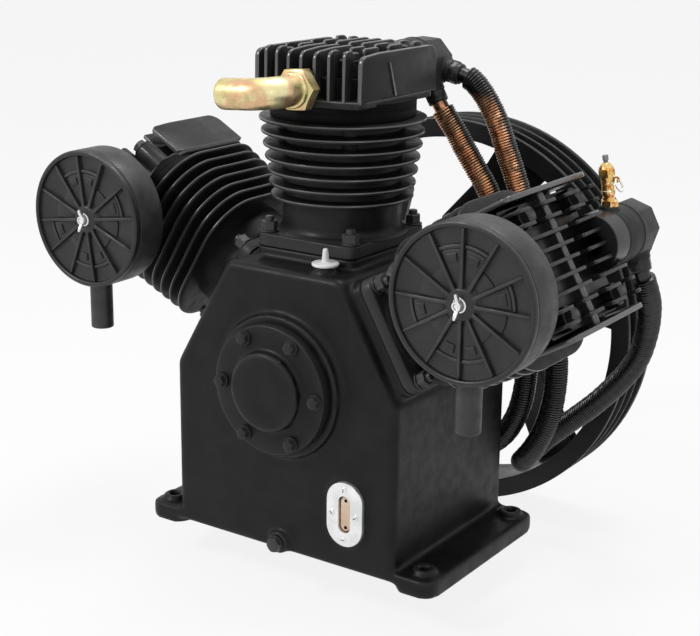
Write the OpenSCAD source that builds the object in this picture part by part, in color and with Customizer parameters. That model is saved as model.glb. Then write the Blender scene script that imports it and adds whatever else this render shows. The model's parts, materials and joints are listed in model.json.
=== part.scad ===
// Three-cylinder, two-stage, belt-driven air compressor pump head.
// Millimetres. Z is up, X runs across the front, Y runs from the front cover back to the flywheel.
// The origin is the centre of the four foot holes, on the face that the feet stand on.

/* [Crankcase] */
// Height of the crankshaft's axis above the feet
crank_h = 202; // [196:1:215]
// Distance from the crankshaft's axis to the three upper walls of the crankcase
case_r = 128.5; // [126:0.5:134]
// Depth of the crankcase from front to back
case_d = 236; // [228:1:250]
// Wall of the casting
wall = 11; // [9:0.5:13]
// Height of the machined seats above the upper walls
seat_h = 12; // [8:0.5:16]
// Angle between one cylinder and the next
bank_angle = 60; // [60:60]
// Distance between neighbouring cylinders along the crankshaft
rod_pitch = 27; // [26:0.5:28]
// Place of the middle cylinder behind the middle of the crankcase
bank_y = -4; // [-6:1:-2]

/* [Base] */
// Width of the base
base_w = 390; // [380:1:420]
// Depth of the base
base_d = 236; // [230:1:250]
// Height of the top of the base above the feet
base_t = 20; // [18:0.5:26]
// Height of the gap under the base between the feet
foot_gap = 8; // [5:0.5:10]
// Width of each foot rail
foot_w = 50; // [44:1:56]
// Distance between the foot holes across the base
foot_hole_x = 348; // [340:1:352]
// Distance between the foot holes from front to back
foot_hole_y = 190; // [180:1:194]
// Radius of the foot holes
foot_hole_r = 6.5; // [5:0.25:7]
// Radius of the corners of the base
base_corner = 16; // [10:1:20]

/* [Crank] */
// Stroke of the pistons
stroke = 80; // [70:1:84]
// Length of the connecting rods between centres
rod_len = 209; // [208:0.5:210]
// Angle of the crankpin from upright in the stored pose
crank_angle = 150; // [100:5:160]
// Radius of the crankpin
pin_r = 22; // [20:0.5:24]
// Thickness of a crank web
web_t = 18; // [16:0.5:19]
// Radius of the counterweights
weight_r = 95; // [85:1:98]
// Radius of the shaft in the front bearing
front_journal_r = 22.5; // [20:0.5:24]
// Radius of the shaft in the rear bearing
rear_journal_r = 27.5; // [26:0.5:30]

/* [Cylinders] */
// Bore radius of the two first-stage cylinders
low_bore_r = 52.5; // [50:0.5:54]
// Bore radius of the second-stage cylinder
high_bore_r = 40; // [39:0.5:46]
// Distance from the crankshaft's axis to the top face of a cylinder
deck_s = 292; // [291:0.5:293]
// Number of cooling fins on a cylinder
fin_count = 7; // [6:1:7]
// Distance between the fins
fin_pitch = 14.2; // [13:0.1:14.2]
// Thickness of a fin
fin_t = 4.5; // [3:0.25:6]
// Radius of the lowest fin of the round cylinder
fin_r_low = 79; // [76:1:84]
// Radius of the highest fin of the round cylinder
fin_r_high = 92; // [90:1:94]
// Half the width of the lowest fin of a square cylinder
fin_half_low = 87; // [84:1:90]
// Half the width of the highest fin of a square cylinder
fin_half_high = 92; // [90:1:94]

/* [Heads] */
// Width of an outer cylinder's head across its fins
head_w = 152; // [150:0.5:156]
// Width of the middle cylinder's head across its fins
high_head_w = 138.6; // [136:0.2:140]
// Distance from the right cylinder's axis to the front of its head's bowed face
head_front = 102; // [100:0.5:104]
// The same distance on the other two heads
short_head_front = 80; // [78:0.5:82]
// Distance from a cylinder's axis to the back of its head
head_back = 80; // [79:0.5:82]
// Distance from a cylinder's axis to the port in the front of its head
head_port_x = 22; // [18:0.5:24]
// The same distance on the middle head
high_port_x = 3; // [0:0.5:4]
// Height of a head with its fins
head_h = 56; // [52:1:60]
// Distance between the fins of an outer head
head_fin_pitch = 14.6; // [14.2:0.1:14.8]
// Distance between the fins of the middle head
high_fin_pitch = 16.7; // [16:0.1:17]
// Thickness of a head's fin
head_fin_t = 6; // [4:0.25:7]
// Distance between head bolts both ways
head_bolt_gap = 106; // [104:1:108]
// Distance between the middle head's bolts from side to side
high_bolt_gap_x = 83; // [82:0.5:86]
// Distance between the middle head's bolts from front to back
high_bolt_gap_y = 95; // [93:0.5:97]
// Radius of a head bolt
head_bolt_r = 5; // [4.5:0.25:5.5]

/* [Filters] */
// Outer radius of an air filter
filter_r = 79; // [74:1:82]
// Depth of an air filter
filter_d = 48; // [44:1:54]
// Distance from a cylinder's axis to the front of its filter
filter_front = 162.5; // [160:0.5:172]
// Distance from the crankshaft's axis to the filter's centre along the cylinder
filter_s = 303; // [301:0.5:306]
// Height of the open end of the intake tubes above the feet
intake_z = 222; // [200:0.5:240]
// Outer radius of the intake tubes
intake_r = 13; // [12:0.5:16]

/* [Flywheel] */
// Outer radius of the flywheel
wheel_r = 246; // [240:1:250]
// Width of the flywheel's rim
wheel_w = 72; // [70:1:76]
// Distance from the middle of the crankcase to the front of the rim
wheel_y = 237; // [235:1:245]
// Thickness of the rim under the belts
rim_t = 23; // [21:0.5:26]
// Number of belt grooves
groove_count = 3; // [2:1:3]
// Distance between belt grooves
groove_pitch = 21; // [19:0.5:22]
// Number of fan spokes
spoke_count = 6; // [5:1:6]

/* [Pipes] */
// Radius of the fins on the intercooler pipes
pipe_fin_r = 13.5; // [12:0.5:14.5]
// Radius of the intercooler pipes
pipe_r = 9; // [7:0.5:10]
// Length of pipe for each coarse fin
pipe_fin_pitch = 13; // [12:0.5:18]
// Radius of the brass delivery pipe
delivery_r = 16.5; // [14:0.5:17.5]

/* [Hidden] */

$fn = 64;
overrun = 1;          // how far a cut runs past the face that it opens
gasket_t = 0.8;       // thickness of every paper gasket
skin = 0.02;          // clearance between pieces that are pressed together
turn_gap = 0.05;      // radial clearance between pieces that turn or slide on each other
side_gap = 0.5;       // axial clearance beside the rods
small_fn = 32;        // facets of small round pieces

iron = [0.07, 0.07, 0.075];
bare_iron = [0.33, 0.33, 0.34];
steel = [0.62, 0.63, 0.65];
alloy = [0.72, 0.73, 0.74];
paper = [0.25, 0.22, 0.18];
plastic = [0.12, 0.12, 0.125];
brass = [0.80, 0.68, 0.36];
copper = [0.72, 0.42, 0.26];
white = [0.93, 0.93, 0.92];
glass = [0.93, 0.80, 0.66];
felt = [0.85, 0.80, 0.68];
rubber = [0.10, 0.10, 0.10];

// Banks: left is 0, centre is 1, right is 2.
LEFT = 0;
CENTRE = 1;
RIGHT = 2;
BANKS = [LEFT, CENTRE, RIGHT];
bank_lean = [-bank_angle, 0, bank_angle];
bank_shift = [rod_pitch, 0, -rod_pitch];
bore_r = [low_bore_r, high_bore_r, low_bore_r];

// Crankcase
case_front = -case_d / 2;
case_back = case_d / 2;
shoulder_x = case_r / sin(bank_angle);
seat_s = case_r + seat_h;
seat_w = 130;
seat_d = 150;
seat_corner = 12;
case_corner = 10;     // radius of the casting's long edges
edge_chamfer = 5;     // softening of the front and back edges
slice_t = 0.4;
spigot_r = 57.5;      // part of the cylinder that enters the crankcase
spigot_len = 24;
spigot_gap = 0.3;

// Front cover
boss_r = 80;
boss_t = 10;
cover_r = 72;
cover_t = 12;
dome_r = 44;
dome_t = 11;
cover_bolt_circle = 62.5;
cover_bolt_count = 6;
cover_bolt_r = 4;
cover_spigot_r = 54;
cover_spigot_len = 26;
bolt_head_share = 1.62;   // radius across the corners of a bolt head over the radius of its shank
bolt_height_share = 1.3;  // height of a bolt head over the radius of its shank
washer_share = 2.2;       // radius of a washer over the radius of the bolt
washer_t = 2;
cover_seat_y = case_front - boss_t;
cover_face_y = cover_seat_y - gasket_t - cover_t;

// Bearings
front_bearing_r = 46;
front_bearing_w = 24;
front_bearing_y = cover_seat_y + 1;   // front side of the front bearing
rear_bearing_r = 56;
rear_bearing_w = 28;
race_t = 5.5;
ball_count = 9;

// Crankshaft
throw = stroke / 2;
pin_len = 3 * rod_pitch;
web_front_y = bank_y - pin_len / 2 - side_gap;
web_back_y = bank_y + pin_len / 2 + side_gap;
shoulder_r = 30;
main_r = 32;

// Rear bearing housing
rear_flange_r = 100;
rear_flange_t = 13;
rear_neck_r = 68;
rear_neck_len = 68;
rear_spigot_r = 86;
rear_spigot_len = 14;
rear_bolt_circle = 92;
rear_bolt_count = 8;
rear_bolt_r = 4;
rear_seat_y = case_back + gasket_t;
rear_end_y = rear_seat_y + rear_neck_len;
rear_bearing_y = rear_end_y - 12 - rear_bearing_w;
seal_r = 38;
seal_w = 9;
seal_shaft_r = 26;

// Flywheel
hub_r = 48;
hub_stand = 22;         // how far the hub stands in front of the rim
hub_front_y = wheel_y - hub_stand;
hub_back_y = wheel_y + wheel_w - 14;
taper_big_r = 24;
taper_small_r = 19;
thread_r = 13;
nut_r = 23;
nut_t = 18;
key_w = 8;
key_len = 40;
groove_depth = 13;
groove_half_top = 8.2;
groove_half_bottom = 4.6;
spoke_phase = 21;
spoke_t = 12;
spoke_lean = 18;
// A swept blade, from hub to rim: places along its length, and the angles of its two edges there
blade_shares = [0.38, 0.55, 0.75];
blade_lead_a = [47, 35, 22, 4, -3];
blade_trail_a = [-1, 7, 1, -19, -23];

// Rods and pistons
big_end_r = 33;
big_end_w = rod_pitch - 2 * side_gap;
small_end_r = 15;
rod_shank_w = 19;
rod_shank_t = 10;
rod_ear_h = 24;        // height of the big end's bolt lugs
wrist_r = 10;
crown_h = 42;          // from the wrist pin to the crown
skirt_h = 34;          // from the wrist pin to the end of the skirt
piston_wall = 7;
ring_t = 2.5;
ring_depth = 4;
ring_count = 4;
piston_gap = 0.08;

// Cylinder
barrel_r = 66;
barrel_r_high = 66;
flange_t = 13;
flange_corner = 14;
stud_x = 54;
stud_y = 62;
stud_r = 5;
stud_up = 7;
fin_low_s = 193.3;
fin_corner_share = 0.66;   // corner radius of a square fin over half its width
top_flange_t = 12;
column_r = 10;
column_len = 46;
deck_w = 152;
deck_d = 158;
deck_corner = 30;
round_deck_r = 80;
plate_t = 8;
head_s = deck_s + plate_t + 2 * gasket_t;

// Valve plate
valve_hole_r = 5.5;
valve_hole_gap = 22;
reed_t = 0.5;
reed_w = 15;

// Head
head_corner = 16;
cheek_r = [58, 25, 20]; // radii of the front corners
head_bow_r = 200;      // radius of the bowed front face
head_floor = 14;
head_inset = 9;         // how far the core is set back between the fins
head_wall_h = 52;
head_side_t = 6;
head_port_s = 18;      // height of the front port above the bottom of the head
high_port_s = 15.5;    // the same on the middle head
head_port_r = 13;
head_port_boss_r = 17; // wall around the front port
head_port_stand = 1.5; // how far it stands out of the front face
pocket_h = 26;
pocket_w = 70;         // the two air chambers in a head's underside
pocket_d = 44;
pocket_y = 36;
pocket_corner = 8;
valley_half = 9.5;
valley_s = 34;
boss_top_s = [38, 43, 38];
head_half_w = [head_w / 2, high_head_w / 2, head_w / 2];
front_y = [short_head_front, short_head_front, head_front];
port_x = [head_port_x, high_port_x, head_port_x];
port_s = [head_port_s, high_port_s, head_port_s];
gap_x = [head_bolt_gap / 2, high_bolt_gap_x / 2, head_bolt_gap / 2];
gap_y = [head_bolt_gap / 2, high_bolt_gap_y / 2, head_bolt_gap / 2];
fin_step = [head_fin_pitch, high_fin_pitch, head_fin_pitch];
fins_each_side = [4, 3, 4];
head_boss_r = 12.6;

// Manifolds
manifold_r = 31;
manifold_s = [37, 22.5, 37];       // height above the bottom of the head
manifold_x = [-4, 16, -4];
manifold_seat_y = [head_back, 94, head_back];
manifold_seam_y = 117;             // where the round body ends and the eight-sided cap begins
manifold_end_y = 160;
manifold_chamfer = 5;
manifold_sides = 8;
manifold_turn = 20;
manifold_bore_r = 13;
outlet_r = 13;
outlet_len = 36;                   // from the manifold's axis to the end of an outlet
outlet_y_left = 171;               // places of the outlets behind the middle of the crankcase
outlet_y_high = 140;
outlet_y_low = 131;
outlet_y_right = 120;

// Filters
filter_wall = 3;
cover_lip = 8;
cover_disc_t = 3;
rim_ring_w = 6;
rim_ring_t = 3.5;
intake_y = 24;         // from the front of a filter back to its intake tube
nipple_r = 15;
nipple_wall = 3;
stud_filter_r = 3;
wing_span = 26;
wing_turn = 88;
wing_y = -7;           // front of the wing nut's body, measured from the front of the filter
element_r = 60;
element_t = 14;
filter_hub_r = 15;
filter_hub_y = 0.8;
rib_count = 12;
rib_w = 2.4;
rib_t = 2.2;

// Brass elbow
elbow_nut_r = 24;
elbow_nut_t = 14;
elbow_collar_t = 5;
elbow_run = 13;        // straight pipe between the collar and the bend
elbow_thread_len = 14;
elbow_bend_r = 26;
elbow_turn = 90;
elbow_drop = 4;        // how far the open end points below level
elbow_len = 32;
elbow_bore_r = 11;

// Relief valve
relief_r = 7;
relief_h = 53;
relief_y = 60;
relief_tilt = -9;
ring_wire_r = 1.1;
ring_big_r = 6.5;
ring_eye_r = 1.75;
ring_eye_h = 27;       // height of the ring's hole above the valve's seat
ring_lug_x = 10.5;     // distance of the hole from the valve's axis
ring_lug_t = 3;
ring_lug_r = 3.4;
ring_hang = 150;       // angle of the hanging ring from upright

// Sight glass, drain and filler
sight_x = 90;
sight_z = 76;
sight_w = 46;
sight_l = 74;
sight_frame_t = 5;
sight_window_w = 15;
sight_window_l = 42;
sight_pad_t = 3;
sight_screw_x = 15.2;  // distance of the side screws from the middle
sight_screw_z = 28.5;  // distance of the top and bottom screws from the middle
sight_screw_r = 3.2;
sight_screw_t = 2;
drain_z = 19;
drain_boss_r = 13;
drain_boss_t = 9;
drain_y = -max(case_d, base_d) / 2 - drain_boss_t;   // face of the drain's boss
drain_plug_r = 7;
drain_hex_r = 9;
drain_hex_t = 7;
filler_x = 44;
filler_y = case_front + 20;
filler_boss_r = 12;
filler_boss_t = 8;
filler_bore_r = 8;
filler_disc_r = 14.5;
filler_disc_t = 3.5;
filler_pin_r = 3.6;
filler_pin_len = 15;

// Intercooler routes. Each is a list of points chosen along the pipe, between the ends of two outlets.
right_route = [[78, 141, 511], [92, 142, 497], [104, 143, 479], [114, 143, 460],
    [123, 144, 436], [133, 145, 412], [150, 147, 366], [167, 149, 325], [182, 150, 282], [192, 150, 238],
    [197, 150, 192], [195, 150, 150], [186, 150, 114], [171, 152, 84], [155, 159, 64], [148, 171, 57],
    [153, 184, 64], [169, 192, 84], [194, 194, 108], [224, 193, 136], [250, 189, 164], [271, 184, 190],
    [287, 177, 217], [298, 166, 250], [306, 149, 280], [309, 131, 304]];
left_route = [[47, 132, 473], [54, 134, 462], [62, 136, 450], [71, 137, 436],
    [87, 138, 413], [102, 140, 390], [119, 144, 350], [138, 148, 295], [151, 150, 240], [158, 150, 192],
    [156, 150, 152], [147, 150, 119], [129, 150, 90], [98, 150, 67], [52, 150, 54], [0, 150, 50],
    [-60, 150, 55], [-118, 152, 76], [-168, 156, 110], [-212, 162, 152], [-246, 168, 200],
    [-270, 172, 248], [-288, 173, 284]];
route_crank_h = 202;   // crank height and crankcase depth that the routes were drawn for
route_case_d = 236;
route_turn_z = 380;    // below this height a pipe keeps clear of the crankcase's back
pipe_sides = 8;
pipe_nut_r = 13.5;     // radius of the coupling nut at each end of a pipe
pipe_nut_len = 13;
pipe_bare_len = 12;    // plain pipe between a coupling nut and the first fin

// Outlines

function unit(v) = v / norm(v);

// An arc from angle a0 to a1 about c.
function arc(c, r, a0, a1, n) =
    [for (i = [0:n]) let (a = a0 + (a1 - a0) * i / n) [c[0] + r * cos(a), c[1] + r * sin(a)]];

// A rectangle about the origin with round corners.
function round_rect(w, d, r, n = 6) = concat(
    arc([w / 2 - r, d / 2 - r], r, 0, 90, n),
    arc([r - w / 2, d / 2 - r], r, 90, 180, n),
    arc([r - w / 2, r - d / 2], r, 180, 270, n),
    arc([w / 2 - r, r - d / 2], r, 270, 360, n));

// A polygon whose corners are rounded to radius r.
function round_corner(a, b, c, r, n) =
    let (u = unit(a - b), v = unit(c - b), half = acos(u * v) / 2,
        centre = b + unit(u + v) * r / sin(half),
        p = b + u * r / tan(half) - centre,
        q = b + v * r / tan(half) - centre,
        a0 = atan2(p[1], p[0]),
        turn = atan2(p[0] * q[1] - p[1] * q[0], p * q))
    arc(centre, r, a0, a0 + turn, n);
function round_poly(pts, r, n = 4) =
    [for (i = [0:len(pts) - 1])
        for (p = round_corner(pts[(i + len(pts) - 1) % len(pts)], pts[i], pts[(i + 1) % len(pts)], r, n)) p];

// The crankcase seen from the front, drawn in by inset, down to height low above the feet.
function case_outline(inset, low, r) =
    let (k = case_r - inset, x = k / sin(bank_angle))
    round_poly([[-x, low - crank_h], [x, low - crank_h], [x, 0], [k * tan(bank_angle / 2), k],
        [-k * tan(bank_angle / 2), k], [-x, 0]], r);

// Placing

// Extrudes a front view from y0 back to y1.
module along_y(y0, y1) {
    translate([0, y1, crank_h]) rotate([90, 0, 0]) linear_extrude(y1 - y0) children();
}

// A cylinder about the crankshaft's axis from y0 back to y1.
module shaft(y0, y1, r, r2 = undef) {
    translate([0, y0, crank_h]) rotate([-90, 0, 0])
        cylinder(h = y1 - y0, r1 = r, r2 = is_undef(r2) ? r : r2);
}

// Moves a piece drawn on a cylinder's own axis to that cylinder.
module at_bank(i) {
    translate([0, bank_y + bank_shift[i], crank_h]) rotate([0, bank_lean[i], 0]) children();
}

// Copies about the crankshaft's axis.
module around(count, radius, phase = 0) {
    for (k = [0:count - 1])
        translate([0, 0, crank_h]) rotate([0, -phase - 360 * k / count, 0]) translate([radius, 0, -crank_h])
            children();
}

module four(x, y) {
    for (sx = [-1, 1], sy = [-1, 1]) translate([sx * x, sy * y, 0]) children();
}

// A hexagon head bolt with its washer, seated at z = 0 with its shank down.
module bolt(r, len) {
    cylinder(h = washer_t, r = r * washer_share, $fn = small_fn);
    translate([0, 0, washer_t]) cylinder(h = r * bolt_height_share, r = r * bolt_head_share, $fn = 6);
    translate([0, 0, -len]) cylinder(h = len, r = r, $fn = small_fn);
}

// Crankcase

// A thin slice of the crankcase about y, drawn in by inset.
module case_slice(y, inset) {
    along_y(y - slice_t / 2, y + slice_t / 2) polygon(case_outline(inset, foot_gap, case_corner));
}

module case_body() {
    along_y(case_front + edge_chamfer, case_back - edge_chamfer)
        polygon(case_outline(0, foot_gap, case_corner));
    for (side = [-1, 1]) hull() {
        case_slice(side * (case_d - slice_t) / 2, edge_chamfer);
        case_slice(side * (case_d / 2 - edge_chamfer - slice_t), 0);
    }
}

module base_plate() {
    translate([0, 0, foot_gap]) linear_extrude(base_t - foot_gap)
        polygon(round_rect(base_w, base_d, base_corner));
    for (side = [-1, 1]) translate([side * (base_w - foot_w) / 2, 0, 0]) linear_extrude(foot_gap + overrun)
        polygon(round_rect(foot_w, base_d, base_corner));
}

foot_boss_r = 13;
foot_boss_t = 7;

module crankcase() {
    color(iron) difference() {
        union() {
            case_body();
            base_plate();
            four(foot_hole_x / 2, foot_hole_y / 2) cylinder(h = base_t + foot_boss_t, r = foot_boss_r);
            for (i = BANKS) at_bank(i) translate([0, 0, case_r - wall / 2])
                linear_extrude(seat_h + wall / 2) polygon(round_rect(seat_w, seat_d, seat_corner));
            shaft(cover_seat_y, case_front + wall, boss_r);
            translate([filler_x, filler_y, crank_h + case_r - wall / 2])
                cylinder(h = filler_boss_t + wall / 2, r = filler_boss_r);
            translate([0, drain_y, drain_z]) rotate([-90, 0, 0])
                cylinder(h = case_front + wall - drain_y, r = drain_boss_r);
            translate([sight_x, case_front - sight_pad_t, sight_z]) rotate([-90, 0, 0])
                linear_extrude(sight_pad_t + wall)
                    polygon(round_rect(sight_w + 4, sight_l + 4, sight_w / 2 + 2 - skin));
        }
        along_y(case_front + wall, case_back - wall) polygon(case_outline(wall, base_t, case_corner));
        for (i = BANKS) at_bank(i) translate([0, 0, case_r - 2 * wall])
            cylinder(h = seat_h + 3 * wall, r = spigot_r + spigot_gap);
        shaft(cover_seat_y - overrun, case_front + wall + overrun, cover_spigot_r + skin);
        shaft(case_back - wall - overrun, case_back + overrun, rear_spigot_r + skin);
        four(foot_hole_x / 2, foot_hole_y / 2) translate([0, 0, -overrun])
            cylinder(h = base_t + foot_boss_t + 2 * overrun, r = foot_hole_r);
        translate([filler_x, filler_y, crank_h + case_r - 2 * wall])
            cylinder(h = filler_boss_t + 3 * wall, r = filler_bore_r + turn_gap);
        translate([0, drain_y - overrun, drain_z]) rotate([-90, 0, 0])
            cylinder(h = case_front + overrun + wall - drain_y, r = drain_plug_r + skin);
        translate([sight_x, case_front - sight_pad_t - overrun, sight_z]) rotate([-90, 0, 0])
            linear_extrude(sight_pad_t + 2 * wall) polygon(round_rect(sight_window_w, sight_window_l,
                sight_window_w / 2 - skin));
        around(cover_bolt_count, cover_bolt_circle, 2) translate([0, cover_seat_y - overrun, crank_h])
            rotate([-90, 0, 0]) cylinder(h = boss_t + wall, r = cover_bolt_r + skin, $fn = small_fn);
        around(rear_bolt_count, rear_bolt_circle) translate([0, case_back - wall - overrun, crank_h])
            rotate([-90, 0, 0]) cylinder(h = wall + 2 * overrun, r = rear_bolt_r + skin, $fn = small_fn);
        for (i = BANKS) at_bank(i) four(stud_x, stud_y) translate([0, 0, seat_s - wall])
            cylinder(h = wall + overrun, r = stud_r + skin, $fn = small_fn);
    }
}

module ring_y(y0, y1, outer, inner) {
    difference() {
        shaft(y0, y1, outer);
        shaft(y0 - overrun, y1 + overrun, inner);
    }
}

module front_cover_gasket() {
    color(paper) difference() {
        ring_y(cover_seat_y - gasket_t, cover_seat_y, cover_r, cover_spigot_r + skin);
        around(cover_bolt_count, cover_bolt_circle, 2)
            translate([0, cover_seat_y - gasket_t - overrun, crank_h])
            rotate([-90, 0, 0]) cylinder(h = gasket_t + 2 * overrun, r = cover_bolt_r + skin, $fn = small_fn);
    }
}

module front_cover() {
    color(iron) difference() {
        union() {
            shaft(cover_face_y, cover_seat_y - gasket_t, cover_r);
            shaft(cover_face_y - dome_t, cover_face_y + overrun, dome_r - 3, dome_r);
            shaft(cover_seat_y - gasket_t - overrun, cover_seat_y + cover_spigot_len, cover_spigot_r);
        }
        shaft(front_bearing_y, cover_seat_y + cover_spigot_len + overrun, front_bearing_r + skin);
        shaft(cover_face_y - dome_t + wall, front_bearing_y + overrun, front_journal_r + race_t);
        around(cover_bolt_count, cover_bolt_circle, 2) translate([0, cover_face_y - overrun, crank_h])
            rotate([-90, 0, 0]) cylinder(h = cover_t + 2 * overrun, r = cover_bolt_r + skin, $fn = small_fn);
    }
}

module front_cover_bolts() {
    color(iron) around(cover_bolt_count, cover_bolt_circle, 2) translate([0, cover_face_y, crank_h])
        rotate([90, 0, 0]) bolt(cover_bolt_r, cover_t + gasket_t + boss_t);
}

// Rear bearing housing

module rear_housing_gasket() {
    color(paper) difference() {
        ring_y(case_back, rear_seat_y, rear_flange_r, rear_spigot_r + skin);
        around(rear_bolt_count, rear_bolt_circle) translate([0, case_back - overrun, crank_h])
            rotate([-90, 0, 0]) cylinder(h = gasket_t + 2 * overrun, r = rear_bolt_r + skin, $fn = small_fn);
    }
}

module rear_bearing_housing() {
    color(iron) difference() {
        union() {
            shaft(rear_seat_y, rear_seat_y + rear_flange_t, rear_flange_r);
            shaft(case_back - rear_spigot_len, rear_seat_y + overrun, rear_spigot_r);
            shaft(rear_seat_y + rear_flange_t - overrun, rear_end_y, rear_neck_r + 12, rear_neck_r);
        }
        shaft(case_back - rear_spigot_len - overrun, rear_bearing_y + overrun, main_r + race_t);
        shaft(case_back - rear_spigot_len - overrun, rear_seat_y + rear_flange_t, rear_spigot_r - wall,
            main_r + race_t);
        shaft(rear_bearing_y - 8, rear_bearing_y + rear_bearing_w, rear_bearing_r + skin);
        shaft(rear_bearing_y + rear_bearing_w - overrun, rear_end_y + overrun, seal_r + skin);
        around(rear_bolt_count, rear_bolt_circle) translate([0, rear_seat_y - overrun, crank_h])
            rotate([-90, 0, 0]) cylinder(h = rear_flange_t + 2 * overrun, r = rear_bolt_r + skin,
                $fn = small_fn);
    }
}

module rear_housing_bolts() {
    color(iron) around(rear_bolt_count, rear_bolt_circle) translate([0, rear_seat_y + rear_flange_t, crank_h])
        rotate([-90, 0, 0]) bolt(rear_bolt_r, rear_flange_t + gasket_t + wall);
}

module oil_seal() {
    color(rubber) ring_y(rear_end_y - seal_w, rear_end_y, seal_r, seal_shaft_r + turn_gap);
}

// The fixed outer ring of a ball bearing and its balls.
module bearing(y0, w, outer, inner) {
    ball_r = (outer - inner - 2 * race_t) / 2 - turn_gap;
    ball_circle = (outer + inner) / 2;
    color(steel) {
        ring_y(y0, y0 + w, outer, outer - race_t);
        around(ball_count, ball_circle) translate([0, y0 + w / 2, crank_h])
            sphere(r = ball_r, $fn = small_fn);
    }
}

module front_bearing() {
    bearing(front_bearing_y, front_bearing_w, front_bearing_r, front_journal_r);
}

module rear_bearing() {
    bearing(rear_bearing_y, rear_bearing_w, rear_bearing_r, rear_journal_r);
}

module bearing_inner_races() {
    color(steel) {
        ring_y(front_bearing_y, front_bearing_y + front_bearing_w, front_journal_r + race_t,
            front_journal_r + skin);
        ring_y(rear_bearing_y, rear_bearing_y + rear_bearing_w, rear_journal_r + race_t,
            rear_journal_r + skin);
    }
}

// Crankshaft

// One web with its counterweight, drawn with the pin upright and turned to the stored angle.
module web(y0) {
    translate([0, 0, crank_h]) rotate([0, crank_angle, 0]) translate([0, 0, -crank_h]) {
        translate([0, 0, throw]) shaft(y0, y0 + web_t, pin_r + 9);
        shaft(y0, y0 + web_t, shoulder_r + 8);
        translate([-pin_r - 4, y0, crank_h - shoulder_r]) cube([2 * pin_r + 8, web_t, shoulder_r + throw]);
        intersection() {
            shaft(y0, y0 + web_t, weight_r);
            translate([-weight_r, y0, crank_h - weight_r]) cube([2 * weight_r, web_t, weight_r - 14]);
        }
    }
}

module crankshaft() {
    color(bare_iron) difference() {
        union() {
            shaft(front_bearing_y - 3, front_bearing_y + front_bearing_w, front_journal_r);
            shaft(front_bearing_y + front_bearing_w, web_front_y - web_t + overrun, shoulder_r);
            web(web_front_y - web_t);
            web(web_back_y);
            shaft(web_back_y + web_t - overrun, rear_bearing_y, main_r);
            shaft(rear_bearing_y, rear_bearing_y + rear_bearing_w, rear_journal_r);
            shaft(rear_bearing_y + rear_bearing_w, hub_front_y, seal_shaft_r);
            shaft(hub_front_y, hub_back_y, taper_big_r, taper_small_r);
            shaft(hub_back_y, hub_back_y + nut_t + 10, thread_r);
        }
        translate([-key_w / 2, hub_front_y + 12, crank_h]) cube([key_w, key_len, taper_big_r + 3]);
    }
}

module flywheel_key() {
    color(steel) translate([-key_w / 2 + skin, hub_front_y + 12 + skin, crank_h + skin])
        cube([key_w - 2 * skin, key_len - 2 * skin, taper_big_r + 3 - 2 * skin]);
}

module flywheel_nut() {
    color(steel) difference() {
        union() {
            shaft(hub_back_y, hub_back_y + 4, nut_r + 4);
            translate([0, hub_back_y + 4, crank_h]) rotate([-90, 0, 0])
                cylinder(h = nut_t, r = nut_r, $fn = 6);
        }
        shaft(hub_back_y - overrun, hub_back_y + nut_t + 4 + overrun, thread_r + skin);
    }
}

// One leaning, swept fan spoke from the hub to the rim.
module spoke() {
    rim_inner = wheel_r - rim_t;
    outer_r = rim_inner + 5;
    reach = concat([hub_r - 2], [for (s = blade_shares) s * rim_inner], [outer_r]);
    last = len(reach) - 1;
    mid_a = (blade_lead_a[last] + blade_trail_a[last]) / 2;
    translate([0, wheel_y + wheel_w / 2, crank_h]) rotate([spoke_lean + 90, 0, 0])
        translate([0, 0, -spoke_t / 2]) linear_extrude(spoke_t) polygon(concat(
            [for (k = [0:last]) reach[k] * [cos(blade_lead_a[k]), sin(blade_lead_a[k])]],
            [outer_r * [cos(mid_a), sin(mid_a)]],
            [for (k = [last:-1:0]) reach[k] * [cos(blade_trail_a[k]), sin(blade_trail_a[k])]]));
}

module flywheel() {
    rim_inner = wheel_r - rim_t;
    color(iron) difference() {
        union() {
            translate([0, wheel_y, crank_h]) rotate([-90, 0, 0]) rotate_extrude($fn = 128) difference() {
                translate([rim_inner, 0]) square([rim_t, wheel_w]);
                for (k = [0:groove_count - 1])
                    let (y = wheel_w / 2 + (k - (groove_count - 1) / 2) * groove_pitch)
                        polygon([[wheel_r + overrun, y - groove_half_top], [wheel_r, y - groove_half_top],
                            [wheel_r - groove_depth, y - groove_half_bottom],
                            [wheel_r - groove_depth, y + groove_half_bottom],
                            [wheel_r, y + groove_half_top], [wheel_r + overrun, y + groove_half_top]]);
            }
            translate([0, hub_front_y, crank_h]) rotate([-90, 0, 0]) rotate_extrude() polygon([
                [taper_big_r + skin, 0], [hub_r, 0], [hub_r, hub_back_y - hub_front_y],
                [taper_small_r + skin, hub_back_y - hub_front_y]]);
            for (k = [0:spoke_count - 1])
                translate([0, 0, crank_h]) rotate([0, -spoke_phase - 360 * k / spoke_count, 0])
                    translate([0, 0, -crank_h]) spoke();
        }
        translate([-key_w / 2, hub_front_y - overrun, crank_h])
            cube([key_w, 12 + key_len + overrun, taper_big_r + 3]);
    }
}

// Rods and pistons

// Angle of a bank's crankpin from its cylinder's axis, the wrist pin's height and the rod's tilt.
function beta(i) = crank_angle - bank_lean[i];
function wrist_s(i) = throw * cos(beta(i)) + sqrt(rod_len * rod_len - pow(throw * sin(beta(i)), 2));
function rod_tilt(i) = asin(-throw * sin(beta(i)) / rod_len);

// Draws with the crankpin at the origin and the rod upright.
module at_crankpin(i) {
    at_bank(i) translate([throw * sin(beta(i)), 0, throw * cos(beta(i))]) rotate([0, rod_tilt(i), 0])
        children();
}

module crankpin(i) {
    color(steel) at_crankpin(i) rotate([90, 0, 0])
        cylinder(h = rod_pitch - side_gap, r = pin_r, center = true);
}

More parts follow.
